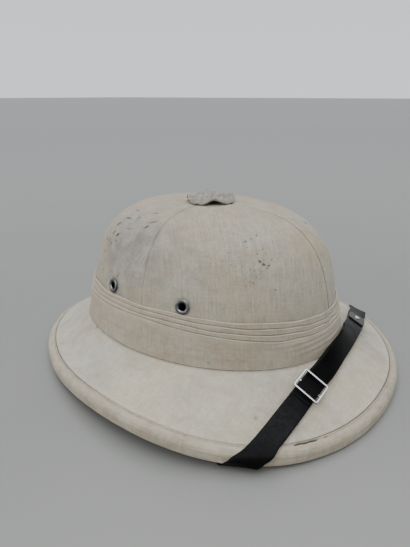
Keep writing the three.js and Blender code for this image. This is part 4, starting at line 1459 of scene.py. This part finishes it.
@dataclass
class Pugaree:
    """Cloth wound round the crown: a wide band under three narrow pleats.

    Attributes:
        finishes: The materials.
        turns: Points round the helmet.
        fold_gap: Gap between the layers.
        band_height: Height of the wide band in front.
        band_side_rise: How much higher it is at the sides.
        total_height: Height of the whole cloth in front.
        side_rise: How much higher it is at the sides.
        pleats: The narrow layers.
        wrinkles: Folds of the wide band.
        dots: Small spots: direction in degrees, height, radius and strength.
    """

    finishes: Wardrobe
    turns: int = 640
    fold_gap: float = 0.18
    band_height: float = 19.5
    band_side_rise: float = 7.8
    total_height: float = 31.0
    side_rise: float = 5.6
    pleats: tuple[Pleat, ...] = (
        Pleat("lower", 2.7, 2.4), Pleat("middle", 2.1, 1.8), Pleat("upper", 1.6, 1.3))
    wrinkles: tuple[Wrinkle, ...] = tuple(Wrinkle(*row) for row in (
        (-44, 15.5, 14, 17.0, 1.0, 0.45), (-36, 11.8, 18, 14.5, 1.1, 0.4), (-30, 8.0, 22, 10.5, 1.2, 0.45),
        (-20, 4.8, 26, 6.5, 1.0, 0.3), (-78, 9.0, -40, 7.2, 1.3, 0.25), (-92, 15.0, -56, 13.0, 1.2, 0.2),
        (-120, 12.0, -84, 15.5, 1.5, 0.22), (34, 10.0, 78, 13.0, 1.4, 0.3), (96, 9.0, 140, 11.0, 1.4, 0.3),
        (150, 13.0, 176, 12.0, 1.3, 0.25)))
    dots: tuple[tuple[float, float, float, float], ...] = (
        (-60.6, 4.4, 0.9, 0.6), (-57.0, 6.0, 0.7, 0.35), (-50.0, 9.0, 0.7, 0.3), (-47.5, 12.5, 0.6, 0.3))

    def __post_init__(self) -> None:
        """Works out the turns."""
        self.angle = turns_of(self.turns)
        self.degrees = signed_degrees(self.angle)
        self.edge = FORM.edge(self.angle)

    def pleat_edge(self, order: int) -> Array:
        """Height of a pleat's edge, 0 for the lowest, with the unevenness of a hand-wound cloth."""
        top = self.total_height + self.side_rise * np.sin(self.angle) ** 2
        low = self.band_height + self.band_side_rise * np.sin(self.angle) ** 4
        return low + (top - low) * order / len(self.pleats) + 0.4 * Undulation(91 + order, 58.0).at(self.edge)

    def wound(self, name: str, low: Array, high: Array, pleat: Pleat, relief: Callable[[Array], Array],
              rows_up: int) -> None:
        """Makes one layer of wound cloth.

        Args:
            name: Name of the layer, which ends the name of the piece and of its solid.
            low: Height of its lower edge.
            high: Height of its upper edge.
            pleat: How far its edges stand out.
            relief: Extra height for heights above the crown's foot.
            rows_up: Rows between the edges.
        """
        bottom, lip = pleat.bottom, pleat.top + 0.22
        under, over = 0.055 * hump(self.degrees, -48.0, 34.0), 0.08 * hump(self.degrees, -108.0, 26.0)
        uneven = 0.85 + 0.3 * Undulation(61, 20.0).at(self.edge)
        # Each row gives height, offset, darkening and lightening. The lower edge, tucked behind the lip of
        # the layer below, gets painted shade; the upper lip gets a painted highlight that is partly wear; the
        # lip's back, turning into the gap, gets painted shade.
        section = [(low, FORM.gap, 0.4, 0.0), (low, bottom * 0.55 + 0.1, 0.4, 0.0),
                   (low + 0.03, bottom - 0.5, 0.34, 0.0), (low + 0.25, bottom - 0.14, 0.16, 0.0)]
        for share in np.linspace(0.0, 1.0, rows_up):
            height = low + 0.75 + (high - low - 1.55) * share
            offset = bottom + (pleat.top - bottom) * share + relief(height)
            section.append((height, offset, 0.0, 0.28 * ease(0.85, 1.0, share)))
        section += [(high - 0.5, lip - 0.02, 0.0, 0.42), (high - 0.22, lip - 0.16, 0.0, 0.46),
                    (high - 0.05, lip - 0.5, 0.0, 0.4), (high, lip - 0.95, 0.12, 0.0),
                    (high - 0.05, FORM.gap, 0.3, 0.0)]
        points = np.stack([FORM.crown(self.angle, height, offset) for height, offset, _, _ in section])
        dots = dotted(points, ((FORM.crown_place(degrees, height, 3.4), radius, strength)
                               for degrees, height, radius, strength in self.dots))
        values = {"soil_and_shade": np.clip(np.stack([dirt_and_shade + under for _, _, dirt_and_shade, _ in section]) + dots, 0, 1),
                  "wear_and_highlight": np.stack([np.clip(over + light * uneven, 0, 1) for _, _, _, light in section]),
                  "stain": np.zeros(points.shape[:2])}
        dress(ring_grid(points, values).to_object(f"wound_{name}"), self.finishes.band, Slot.BAND_CLOTH,
              f"pugaree_{name}")

    def place(self, length: float, width: float, height: Array) -> Array:
        """Points round an oval, for the waves of the cloth."""
        turn = np.radians(self.degrees)
        return np.stack([np.cos(turn) * length, np.sin(turn) * width, height], axis=-1)

    def band_relief(self, height: Array) -> Array:
        """Folds and waves of the wide band."""
        folds = sum(wrinkle.relief(self.degrees, height) for wrinkle in self.wrinkles)
        return folds + 0.14 * Undulation(71, 26.0).at(self.place(118, 96, height * 1.6)) - 0.25

    def pleat_relief(self, height: Array, order: int) -> Array:
        """Gentle waves of a narrow pleat, and its gathers at the front seam."""
        gathered = hump(self.degrees, 5.0, 10.0) * np.sin(TAU * (height + 0.22 * self.degrees) / 2.8)
        return 0.1 * Undulation(81 + order, 17.0).at(self.place(116, 94, height)) + 0.32 * gathered

    def build(self) -> None:
        """Makes the wide band and the three pleats."""
        self.wound("band", np.full_like(self.angle, FORM.gap), self.pleat_edge(0), Pleat("band", 3.5, 3.0),
                   self.band_relief, 34)
        for order, pleat in enumerate(self.pleats):
            self.wound(f"pleat_{pleat.place}", self.pleat_edge(order) + self.fold_gap,
                       self.pleat_edge(order + 1), pleat, partial(self.pleat_relief, order=order), 7)


# Chin strap ---------------------------------------------------------------------------------------


@dataclass(frozen=True)
class WayRow:
    """A row of the strap's way.

    Attributes:
        seat: What it lies on.
        angle: Direction in degrees.
        along: Height on the wall, share of the brim, or place on the rim's round.
        lift: Height over the strap's own clearance.
        lean: Turn up against the crown, in degrees.
    """

    seat: Seat
    angle: float
    along: float
    lift: float
    lean: float = 0.0


@dataclass
class StrapRoute:
    """The strap's middle line, from the anchor on the wearer's right to the one on the left.

    Attributes:
        width: Width of the strap.
        clearance: Distance of its middle line from what carries it.
        rim_round: Places down the rim's round: inset, rise, and the direction they face in degrees.
        rows: Where the line runs.
        divisions: Steps that its length is measured in.
        folds_from: Share of the brim's width beyond which the strap's folds follow the rim.
    """

    width: float = 16.0
    clearance: float = 0.8
    rim_round: tuple[tuple[float, float, float], ...] = (
        (1.6, 0.4, 60.0), (0.0, -2.4, 8.0), (0.0, -6.6, -8.0), (2.4, -9.0, -75.0), (9.5, -9.0, -100.0))
    rows: tuple[WayRow, ...] = tuple(WayRow(*row) for row in (
        (Seat.WALL, -75, 24, 1), (Seat.WALL, -72.5, 12, 1.1), (Seat.CORNER, -68, 0, 1.5),
        (Seat.UNDER, -62, 0.25, 1), (Seat.UNDER, -55, 0.55, 0.8), (Seat.RIM, -48.9, 4, 0.3),
        (Seat.RIM, -46.3, 3, -0.2), (Seat.RIM, -44.8, 2, -0.2), (Seat.RIM, -43.1, 1, -0.1),
        (Seat.RIM, -41.3, 0, 0.2), (Seat.BRIM, -37.9, 0.8, 0.4), (Seat.BRIM, -31.5, 0.52, 0.4),
        (Seat.BRIM, -21.5, 0.25, 0.4), (Seat.BRIM, -15, 0.16, 0.4, 2), (Seat.BRIM, -9, 0.085, 0.4, 8),
        (Seat.BRIM, -3, 0.035, 0.5, 15), (Seat.BRIM, 4, 0.018, 0.5, 19), (Seat.BRIM, 11, 0.032, 0.5, 17),
        (Seat.BRIM, 18, 0.08, 0.4, 9), (Seat.BRIM, 25, 0.165, 0.4, 3), (Seat.BRIM, 33, 0.32, 0.4),
        (Seat.BRIM, 41.5, 0.54, 0.3), (Seat.BRIM, 48, 0.81, 0.1), (Seat.RIM, 51.7, 0, -0.3),
        (Seat.RIM, 53, 1, -0.1), (Seat.RIM, 54.7, 2, -0.2), (Seat.RIM, 56.3, 3, -0.2),
        (Seat.RIM, 59.5, 4, 0.3), (Seat.UNDER, 65, 0.55, 0.8), (Seat.UNDER, 71, 0.25, 1),
        (Seat.CORNER, 75, 0, 1.5), (Seat.WALL, 78.5, 12, 1.1), (Seat.WALL, 80, 24, 1)))
    divisions: int = 600
    folds_from: float = 0.8

    def __post_init__(self) -> None:
        """Works out the middle line, its normals and the slant of its folds."""
        points, normals = (np.array(part) for part in zip(*(self.seat(row) for row in self.rows)))
        lifts = np.array([self.clearance + row.lift for row in self.rows])
        self.normals, self.places = normals, points + normals * lifts[:, None]
        self.steps = np.linspace(0, 1, self.divisions + 1)
        line = self.spline(self.places, self.steps)
        self.lengths = np.concatenate([[0], np.cumsum(np.linalg.norm(np.diff(line, axis=0), axis=1))])
        self.length = float(self.lengths[-1])
        numbers = np.arange(len(self.rows))
        slants = [self.slant(index) for index in numbers]
        self.slants = smoothed(np.interp(self.steps * numbers[-1], numbers, slants), 4.0)

    def seat(self, row: WayRow) -> tuple[Array, Array]:
        """Point and outward direction of a row on what carries it."""
        angle, along, inside = np.array(math.radians(row.angle)), np.array(row.along), FORM.inside
        outward = unit((FORM.rim(angle, 0, 0) - FORM.rim(angle, 5, 0)) * [1, 1, 0])
        up = np.array([0.0, 0.0, 1.0])
        if row.seat is Seat.BRIM:
            lean = math.radians(row.lean)
            normal = surface_normal(FORM.brim_surface, angle, along)
            uphill = unit(FORM.brim_surface(angle, along - 0.01) - FORM.brim_surface(angle, along + 0.01))
            point = FORM.brim(angle, along, self.width / 2 * math.sin(lean))
            return point, normal * math.cos(lean) - uphill * math.sin(lean)
        if row.seat is Seat.RIM:
            inset, rise, facing = self.rim_round[int(row.along)]
            normal = outward * math.cos(math.radians(facing)) + up * math.sin(math.radians(facing))
            return FORM.rim(angle, inset, rise), normal
        if row.seat is Seat.UNDER:
            return FORM.brim(angle, along, inside), -surface_normal(FORM.brim_surface, angle, along)
        if row.seat is Seat.CORNER:
            return FORM.foot(angle, inside, inside), -unit(outward + up)
        return FORM.crown(angle, along, inside), -outward

    @staticmethod
    def spline(points: Array, steps: Array) -> Array:
        """Smooth curve through points, with a knot spacing that follows the root of their distance."""
        position = steps * (len(points) - 1)
        start = np.minimum(np.floor(position).astype(int), len(points) - 2)
        weight = (position - start)[:, None]
        padded = np.vstack([2 * points[0] - points[1], points, 2 * points[-1] - points[-2]])
        p0, p1, p2, p3 = (padded[start + shift] for shift in range(4))
        d0, d1, d2 = (np.maximum(np.linalg.norm(second - first, axis=1, keepdims=True) ** 0.5, 1e-4)
                      for first, second in ((p0, p1), (p1, p2), (p2, p3)))
        t1 = ((p1 - p0) / d0 - (p2 - p0) / (d0 + d1) + (p2 - p1) / d1) * d1
        t2 = ((p2 - p1) / d1 - (p3 - p1) / (d1 + d2) + (p3 - p2) / d2) * d1
        c2 = -3 * p1 + 3 * p2 - 2 * t1 - t2
        c3 = 2 * p1 - 2 * p2 + t1 + t2
        return p1 + t1 * weight + c2 * weight ** 2 + c3 * weight ** 3

    def frames_at(self, steps: Array) -> tuple[Array, Array, Array, Array]:
        """Middle, along, across and normal of the strap at steps of its rows."""
        small = 1e-4
        ahead, behind = (self.spline(self.places, np.clip(steps + shift, 0, 1)) for shift in (small, -small))
        along = unit(ahead - behind)
        normal = self.spline(self.normals, steps)
        normal = unit(normal - along * np.sum(normal * along, axis=1, keepdims=True))
        return self.spline(self.places, steps), along, unit(np.cross(normal, along)), normal

    def steps_of(self, shares: Array) -> Array:
        """Steps of the rows for shares of the length."""
        return np.interp(shares * self.length, self.lengths, self.steps)

    def slant(self, index: int) -> float:
        """Run of a fold along the strap for each millimetre across it."""
        row = self.rows[index]
        if row.seat is Seat.WALL or row.seat is Seat.BRIM and row.along <= self.folds_from:
            return 0.0
        ahead, behind = (self.seat(replace(row, angle=row.angle + step))[0] for step in (0.5, -0.5))
        _, along, across, _ = self.frames_at(np.array([index / (len(self.rows) - 1)]))
        return float(((ahead - behind) @ along[0]) / ((ahead - behind) @ across[0]))

    def frame(self, share: float) -> Array:
        """Frame on the strap at a share of its length."""
        middle, along, _, normal = self.frames_at(self.steps_of(np.array([share])))
        return frame_at(middle[0], along[0], normal[0])

    def share_at(self, degrees: float) -> float:
        """Share of the length at which the strap passes a direction."""
        low, high = 0.25, 0.75
        for _ in range(30):
            middle = (low + high) / 2
            point = self.spline(self.places, self.steps_of(np.array([middle])))[0]
            if math.atan2(point[1], point[0] - FORM.crown_x) < math.radians(degrees):
                low = middle
            else:
                high = middle
        return low


class BuckleFrame(Recipe):
    """Geometry Nodes tree that bends a bar into a frame with rounded corners."""

    def __init__(self) -> None:
        """Builds the tree."""
        super().__init__("buckle_frame", "Metal", "Frame Length", "Frame Width", "Bar", "Corner Radius",
                         "Bar Rounding")
        given = self.given
        outline = self.rectangle(given["Frame Length"], given["Frame Width"], given["Corner Radius"], 6)
        section = self.rectangle(given["Bar"], given["Bar"], given["Bar Rounding"], 3)
        frame = self.add("GeometryNodeCurveToMesh", {"Curve": outline, "Profile Curve": section})
        self.end_with(frame.outputs[0])

    def rectangle(self, width: Socket, height: Socket, radius: Socket, count: int) -> Socket:
        """A rectangle with corners rounded off in so many steps."""
        shape = self.add("GeometryNodeCurvePrimitiveQuadrilateral", {"Width": width, "Height": height})
        inputs = {"Curve": shape.outputs[0], "Radius": radius, "Count": count}
        return self.add("GeometryNodeFilletCurve", inputs, mode="POLY").outputs[0]


@dataclass
class ChinStrap:
    """Leather strap with its second layer, slide buckle, end tab, rivet and anchors."""

    finishes: Wardrobe
    route: StrapRoute = field(default_factory=StrapRoute)
    thickness: float = 1.5
    edge_round: float = 0.42
    buckle_angle: float = -22.8
    buckle_width: float = 20.4
    buckle_length: float = 18.5
    bar: float = 1.35
    corner_radius: float = 0.9
    bar_rounding: float = 0.35
    buckle_lift: float = 0.9
    tab_angle: float = 36.0
    tab_width: float = 15.6
    tab_before: float = 13.5
    tab_after: float = 8.5
    tab_thickness: float = 1.1
    tab_seat: float = 3.0
    rivet_shift: float = 2.0
    past_buckle: float = 12.5
    past_tab: float = 7.5
    rivet_radius: float = 2.6
    rivet_shank: float = 1.2
    anchor_radius: float = 4.5
    anchor_shares: tuple[tuple[str, float], ...] = (("right", 0.012), ("left", 0.988))

    def __post_init__(self) -> None:
        """Finds where the buckle and the tab sit."""
        self.layer = self.thickness + FORM.gap
        self.buckle_share = self.route.share_at(self.buckle_angle)
        self.tab_share = self.route.share_at(self.tab_angle)

    def ribbon(self, name: str, shares: Array, lifts: Array, width: float, thickness: Union[Array, float],
               round_ends: float = 0.0) -> bpy.types.Object:
        """A strip of leather with rounded edges.

        Args:
            name: Name of the piece.
            shares: Shares of the strap's length at its stations.
            lifts: Height over the strap's middle line at the stations.
            width: Its width.
            thickness: Its thickness, one for all stations or one for each.
            round_ends: How far its ends are rounded off, or 0.

        Returns:
            The piece without a material.
        """
        middle, along, across, normal = self.route.frames_at(self.route.steps_of(shares))
        run = shares * self.route.length
        slant = np.interp(run, self.route.lengths, self.route.slants)
        half = np.full_like(shares, width / 2)
        if round_ends > 0:
            cut = np.clip(1 - np.minimum(run - run[0], run[-1] - run) / round_ends, 0, 1)
            half = half - round_ends * (1 - np.sqrt(np.maximum(1 - cut ** 2, 0))) * 0.9
        half = half + 0.12 * Undulation(91, 38.0).at(run[:, None])
        # Painted sheen: a greyer stretch of the top face below the buckle, where the leather would reflect
        # the bright sky.
        sheen_and_wear = 0.85 * hump(run, self.buckle_share * self.route.length - 38.0, 24.0)
        under, over = (-1, -0.5, 0, 0.5, 1), (1, 0.8, 0.5, 0.2, -0.2, -0.5, -0.8, -1)
        section = [(-1, 0.5), (-1, 0.2), *((place, 0.0) for place in under), (1, 0.2), (1, 0.5), (1, 0.8),
                   *((place, 1.0) for place in over), (-1, 0.8)]
        rows, wear_and_highlight = [], []
        for place, level in section:
            tuck = self.edge_round * {0.5: 0.0, 0.2: 0.12, 0.8: 0.12}.get(level, float(abs(place) == 1))
            out = np.sign(place) * (half * abs(place) - tuck)
            height = lifts + thickness * level
            rows.append(middle + across * out[:, None] + along * (out * slant)[:, None]
                        + normal * height[:, None])
            edge_wear = 0.3 if abs(place) == 1 and level >= 0.8 else 0.0
            wear_and_highlight.append(np.maximum(edge_wear, sheen_and_wear * (level == 1.0)))
        spacing = self.route.length * float(shares[1] - shares[0])
        around = np.linspace(0, 2 * width, len(section), endpoint=False)
        uv = np.stack(np.broadcast_arrays(run[:, None], around[None, :]), axis=-1) * MM
        return self.tube(name, smoothed(np.stack(rows, axis=1), 1.8 / spacing), uv, np.stack(wear_and_highlight, axis=1))

    @staticmethod
    def tube(name: str, points: Array, uv: Array, wear_and_highlight: Array) -> bpy.types.Object:
        """Closes a run of sections into a solid.

        Args:
            name: Name of the piece.
            points: Points by station and place on the section.
            uv: Place on the leather by station and place on the section.
            wear_and_highlight: Wear and painted sheen by station and place on the section.

        Returns:
            The object.
        """
        stations, sides = points.shape[:2]
        number = np.arange(stations * sides).reshape(stations, sides)
        beside = np.roll(number, -1, axis=1)
        faces = np.stack([number[:-1], beside[:-1], beside[1:], number[1:]], axis=-1).reshape(-1, 4)
        caps = []
        for centre, ring, step in ((stations * sides, number[0], 1), (stations * sides + 1, number[-1], -1)):
            caps += [[centre, ring[side + 2], ring[side + 1], ring[side]][::step]
                     for side in range(0, sides - 1, 2)]
        centres = points[[0, -1]].mean(axis=1)
        grid = Grid(np.concatenate([points.reshape(-1, 3), centres]), np.concatenate([faces, np.array(caps)]),
                    np.concatenate([uv.reshape(-1, 2)[faces], np.zeros((len(caps), 4, 2))]),
                    {"wear_and_highlight": np.concatenate([wear_and_highlight.ravel(), [0, 0]])})
        item = grid.to_object(name, 55)
        shape = bmesh.new()
        shape.from_mesh(item.data)
        bmesh.ops.holes_fill(shape, edges=[edge for edge in shape.edges if edge.is_boundary], sides=6)
        shape.to_mesh(item.data)
        shape.free()
        return item

    def strap(self) -> None:
        """Makes the whole loop of the strap, pressed thinner round the lower corners of the rim."""
        shares = np.linspace(0, 1, 520)
        row = self.route.steps_of(shares) * (len(self.route.rows) - 1)
        pressed = hump(row, 5.8, 1.5) + hump(row, 26.2, 1.5)
        item = self.ribbon("leather_strap", shares, -0.25 * pressed, self.route.width,
                           self.thickness - 0.6 * pressed)
        dress(item, self.finishes.leather, Slot.LEATHER, "chin_strap")

    def second_layer(self) -> None:
        """Makes the layer that passes through the buckle and ends under the tab, thinned at both ends."""
        length, thickness = self.route.length, self.thickness
        shares = np.linspace(self.buckle_share - self.past_buckle / length,
                             self.tab_share + self.past_tab / length, 190)
        away = np.abs(shares - self.buckle_share) * length
        skived = ease(0.0, 9.0, (shares - shares[0]) * length)
        lifts = thickness + 0.03 + (self.layer - thickness) * skived + 1.3 * (1 - ease(1.5, 7.5, away))
        thinned = np.minimum(0.45 + (thickness - 0.45) * skived,
                             0.9 + (thickness - 0.9) * ease(22.0, 32.0, (shares[-1] - shares) * length))
        item = self.ribbon("leather_strap_upper_layer", shares, lifts, self.route.width - 0.4, thinned, 1.2)
        dress(item, self.finishes.leather, Slot.LEATHER, "strap_second_layer")

    def rivet(self, name: str, node: str, share: float, shank: tuple[float, float], seat: float,
              head: list[tuple[float, float]]) -> None:
        """Makes a round-headed rivet.

        Args:
            name: Name of the piece.
            node: Solid that it replaces.
            share: Where it sits along the strap.
            shank: Radius and foot of its shank.
            seat: Height of the head's underside.
            head: Profile of the head's round.
        """
        radius, foot = shank
        profile = [(0.03, foot), (radius, foot), (radius, seat), (head[0][0], seat), *head]
        item = lathe_grid(profile, 32, self.route.frame(share)).to_object(name)
        dress(item, self.finishes.steel, Slot.STEEL, node)

    def tab(self) -> None:
        """Makes the lacquered fitting at the strap's end, and its rivet."""
        length = self.route.length
        shares = self.tab_share + np.linspace(-self.tab_before, self.tab_after, 26) / length
        item = self.ribbon("end_fitting", shares, np.full_like(shares, self.tab_seat), self.tab_width,
                           self.tab_thickness, 1.2)
        dress(item, self.finishes.lacquer, Slot.LEATHER, "strap_end_tab")
        seat = self.tab_seat + self.tab_thickness
        self.rivet("end_rivet", "strap_end_rivet", self.tab_share - self.rivet_shift / length,
                   (self.rivet_shank, 0.1), seat + 0.15,
                   arc((0.0, seat + 0.25), (self.rivet_radius, 1.15), 0, 90, 10))

    def buckle(self) -> None:
        """Makes the slide buckle: a flat frame on top, cheeks at its sides and a bar underneath."""
        bar, width = self.bar, self.buckle_width
        item = BuckleFrame().grow(new_object("slide_buckle_frame"), self.finishes.steel, {
            "Frame Length": self.buckle_length - bar, "Frame Width": width - bar, "Bar": bar,
            "Corner Radius": self.corner_radius, "Bar Rounding": self.bar_rounding})
        middle = 2 * self.layer + self.buckle_lift + bar / 2
        tall = middle - self.layer
        shape = bmesh.new()
        shape.from_mesh(item.data)
        bmesh.ops.translate(shape, verts=shape.verts, vec=(0, 0, middle * MM))
        self.add_block(shape, (0, 0, self.layer + 0.5), (1.6, width - 1.0, 1.0))
        for side in (-1, 1):
            centre = (0, side * (width - bar) / 2, self.layer + tall / 2)
            self.add_block(shape, centre, (3.0, bar * 0.7, tall))
        bmesh.ops.transform(shape, matrix=to_matrix(self.route.frame(self.buckle_share)), verts=shape.verts)
        for face in shape.faces:
            face.smooth = True
        shape.to_mesh(item.data)
        shape.free()
        dress(item, self.finishes.steel, Slot.STEEL, "slide_buckle")

    @staticmethod
    def add_block(shape: bmesh.types.BMesh, centre: tuple[float, ...], size: tuple[float, ...]) -> None:
        """Adds a block with bevelled edges, in millimetres."""
        block = bmesh.new()
        bmesh.ops.create_cube(block, size=1.0)
        bmesh.ops.scale(block, vec=Vector(size) * MM, verts=block.verts)
        bmesh.ops.bevel(block, geom=block.edges[:], offset=0.3 * MM, segments=3, affect="EDGES", profile=0.5)
        bmesh.ops.translate(block, verts=block.verts, vec=Vector(centre) * MM)
        mesh = bpy.data.meshes.new("block")
        block.to_mesh(mesh)
        block.free()
        shape.from_mesh(mesh)
        bpy.data.meshes.remove(mesh)

    def build(self) -> None:
        """Makes every piece of the strap, with the two plain rivets that hold it inside the crown."""
        self.strap()
        self.second_layer()
        self.tab()
        self.buckle()
        for side, share in self.anchor_shares:
            self.rivet(f"anchor_rivet_{side}", f"strap_anchor_{side}", share, (2.0, -3.2), self.layer,
                       arc((0.0, self.layer + 0.2), (self.anchor_radius, 1.2), 0, 90, 9))


# Studio -------------------------------------------------------------------------------------------


@dataclass(frozen=True)
class SoftLight:
    """A large area light, with its place and aim in metres."""

    name: str
    place: tuple[float, float, float]
    aim: tuple[float, float, float]
    size: float
    power: float
    colour: Colour

    def build(self) -> None:
        """Adds the light."""
        data = bpy.data.lights.new(self.name, "AREA")
        data.shape, data.size, data.energy, data.color = "DISK", self.size, self.power, self.colour
        item = new_object(self.name, data)
        item.location = self.place
        item.rotation_euler = (Vector(self.aim) - Vector(self.place)).to_track_quat("-Z", "Y").to_euler()


@dataclass
class Studio:
    """Pale floor, soft light and the camera of the photograph's view.

    Attributes:
        camera_place: Place of the camera, in metres.
        camera_aim: Direction that it looks in.
        lens: Its focal length.
        sensor: Height and width of its sensor.
        floor_size: Half the width of the floor, in metres.
        floor_level: Height of the floor, in metres.
        surround: Colour of the light from all sides.
        surround_strength: Its strength.
        sky: Its share of brightness at heights from 0 to 1.
        lights: The lamps.
    """

    camera_place: tuple[float, float, float] = (0.23373, -0.32633, 0.22340)
    camera_aim: tuple[float, float, float] = (-0.55142, 0.75739, -0.34971)
    lens: float = 31.59
    sensor: float = 36.0
    floor_size: float = 30.0
    floor_level: float = -0.0001
    surround: Colour = (0.93, 0.96, 1.0)
    surround_strength: float = 1.15
    sky: tuple[tuple[float, float], ...] = ((0.0, 0.9), (0.16, 0.85), (0.26, 0.5), (0.4, 0.22), (0.64, 0.22),
                                            (0.86, 1.4))
    lights: tuple[SoftLight, ...] = (
        SoftLight("overhead", (-0.1, 0.35, 1.5), (0.0, 0.0, 0.05), 2.4, 10.0, (1.0, 0.985, 0.96)),
        SoftLight("front_fill", (0.5, -1.1, 1.2), (0.0, 0.0, 0.05), 1.5, 9.0, (1.0, 0.98, 0.95)),
        SoftLight("low_fill", (-0.7, -1.0, 0.26), (-0.05, -0.1, 0.0), 0.9, 3.2, (1.0, 0.985, 0.96)),
    )

    def floor(self) -> None:
        """Lays the floor."""
        item = new_object("studio_floor")
        corners = [(x * self.floor_size, y * self.floor_size, self.floor_level)
                   for x, y in ((-1, -1), (1, -1), (1, 1), (-1, 1))]
        item.data.from_pydata(corners, [], [(0, 1, 2, 3)])
        item.data.materials.append(PaleFloor().build())

    def camera(self) -> None:
        """Sets up the camera."""
        data = bpy.data.cameras.new("camera")
        data.sensor_fit, data.lens = "VERTICAL", self.lens
        data.sensor_height = data.sensor_width = self.sensor
        item = new_object("camera", data)
        item.location = self.camera_place
        item.rotation_euler = Vector(self.camera_aim).to_track_quat("-Z", "Y").to_euler()
        bpy.context.scene.camera = item

    def surroundings(self) -> None:
        """Sets the even light from all sides, brightest overhead."""
        world = bpy.data.worlds.new("studio")
        world.use_nodes = True
        sky = Wiring(world.node_tree)
        place = sky.add("ShaderNodeTexCoord")
        split = sky.add("ShaderNodeSeparateXYZ", {0: place.outputs["Generated"]})
        ramp = sky.add("ShaderNodeValToRGB", {0: split.outputs["Z"]})
        stops = ramp.color_ramp.elements
        while len(stops) < len(self.sky):
            stops.new(0.5)
        for stop, (height, level) in zip(stops, self.sky):
            stop.position = height
            stop.color = (*(level * part for part in self.surround), 1.0)
        background = world.node_tree.nodes["Background"]
        sky.join(ramp.outputs[0], background.inputs["Color"])
        sky.join(self.surround_strength, background.inputs["Strength"])
        bpy.context.scene.world = world

    def build(self) -> None:
        """Makes the studio."""
        self.camera()
        self.surroundings()
        self.floor()
        for light in self.lights:
            light.build()


def main() -> None:
    """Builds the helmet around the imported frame."""
    logging.basicConfig(level=logging.INFO, format="%(message)s")
    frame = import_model()
    LOG.info("frame: %d nodes", len(frame["nodes"]))
    Studio().build()
    finishes = Wardrobe()
    for assembly in (Crown(finishes), Brim(finishes), Pugaree(finishes), ChinStrap(finishes)):
        assembly.build()


if __name__ == "__main__":
    main()
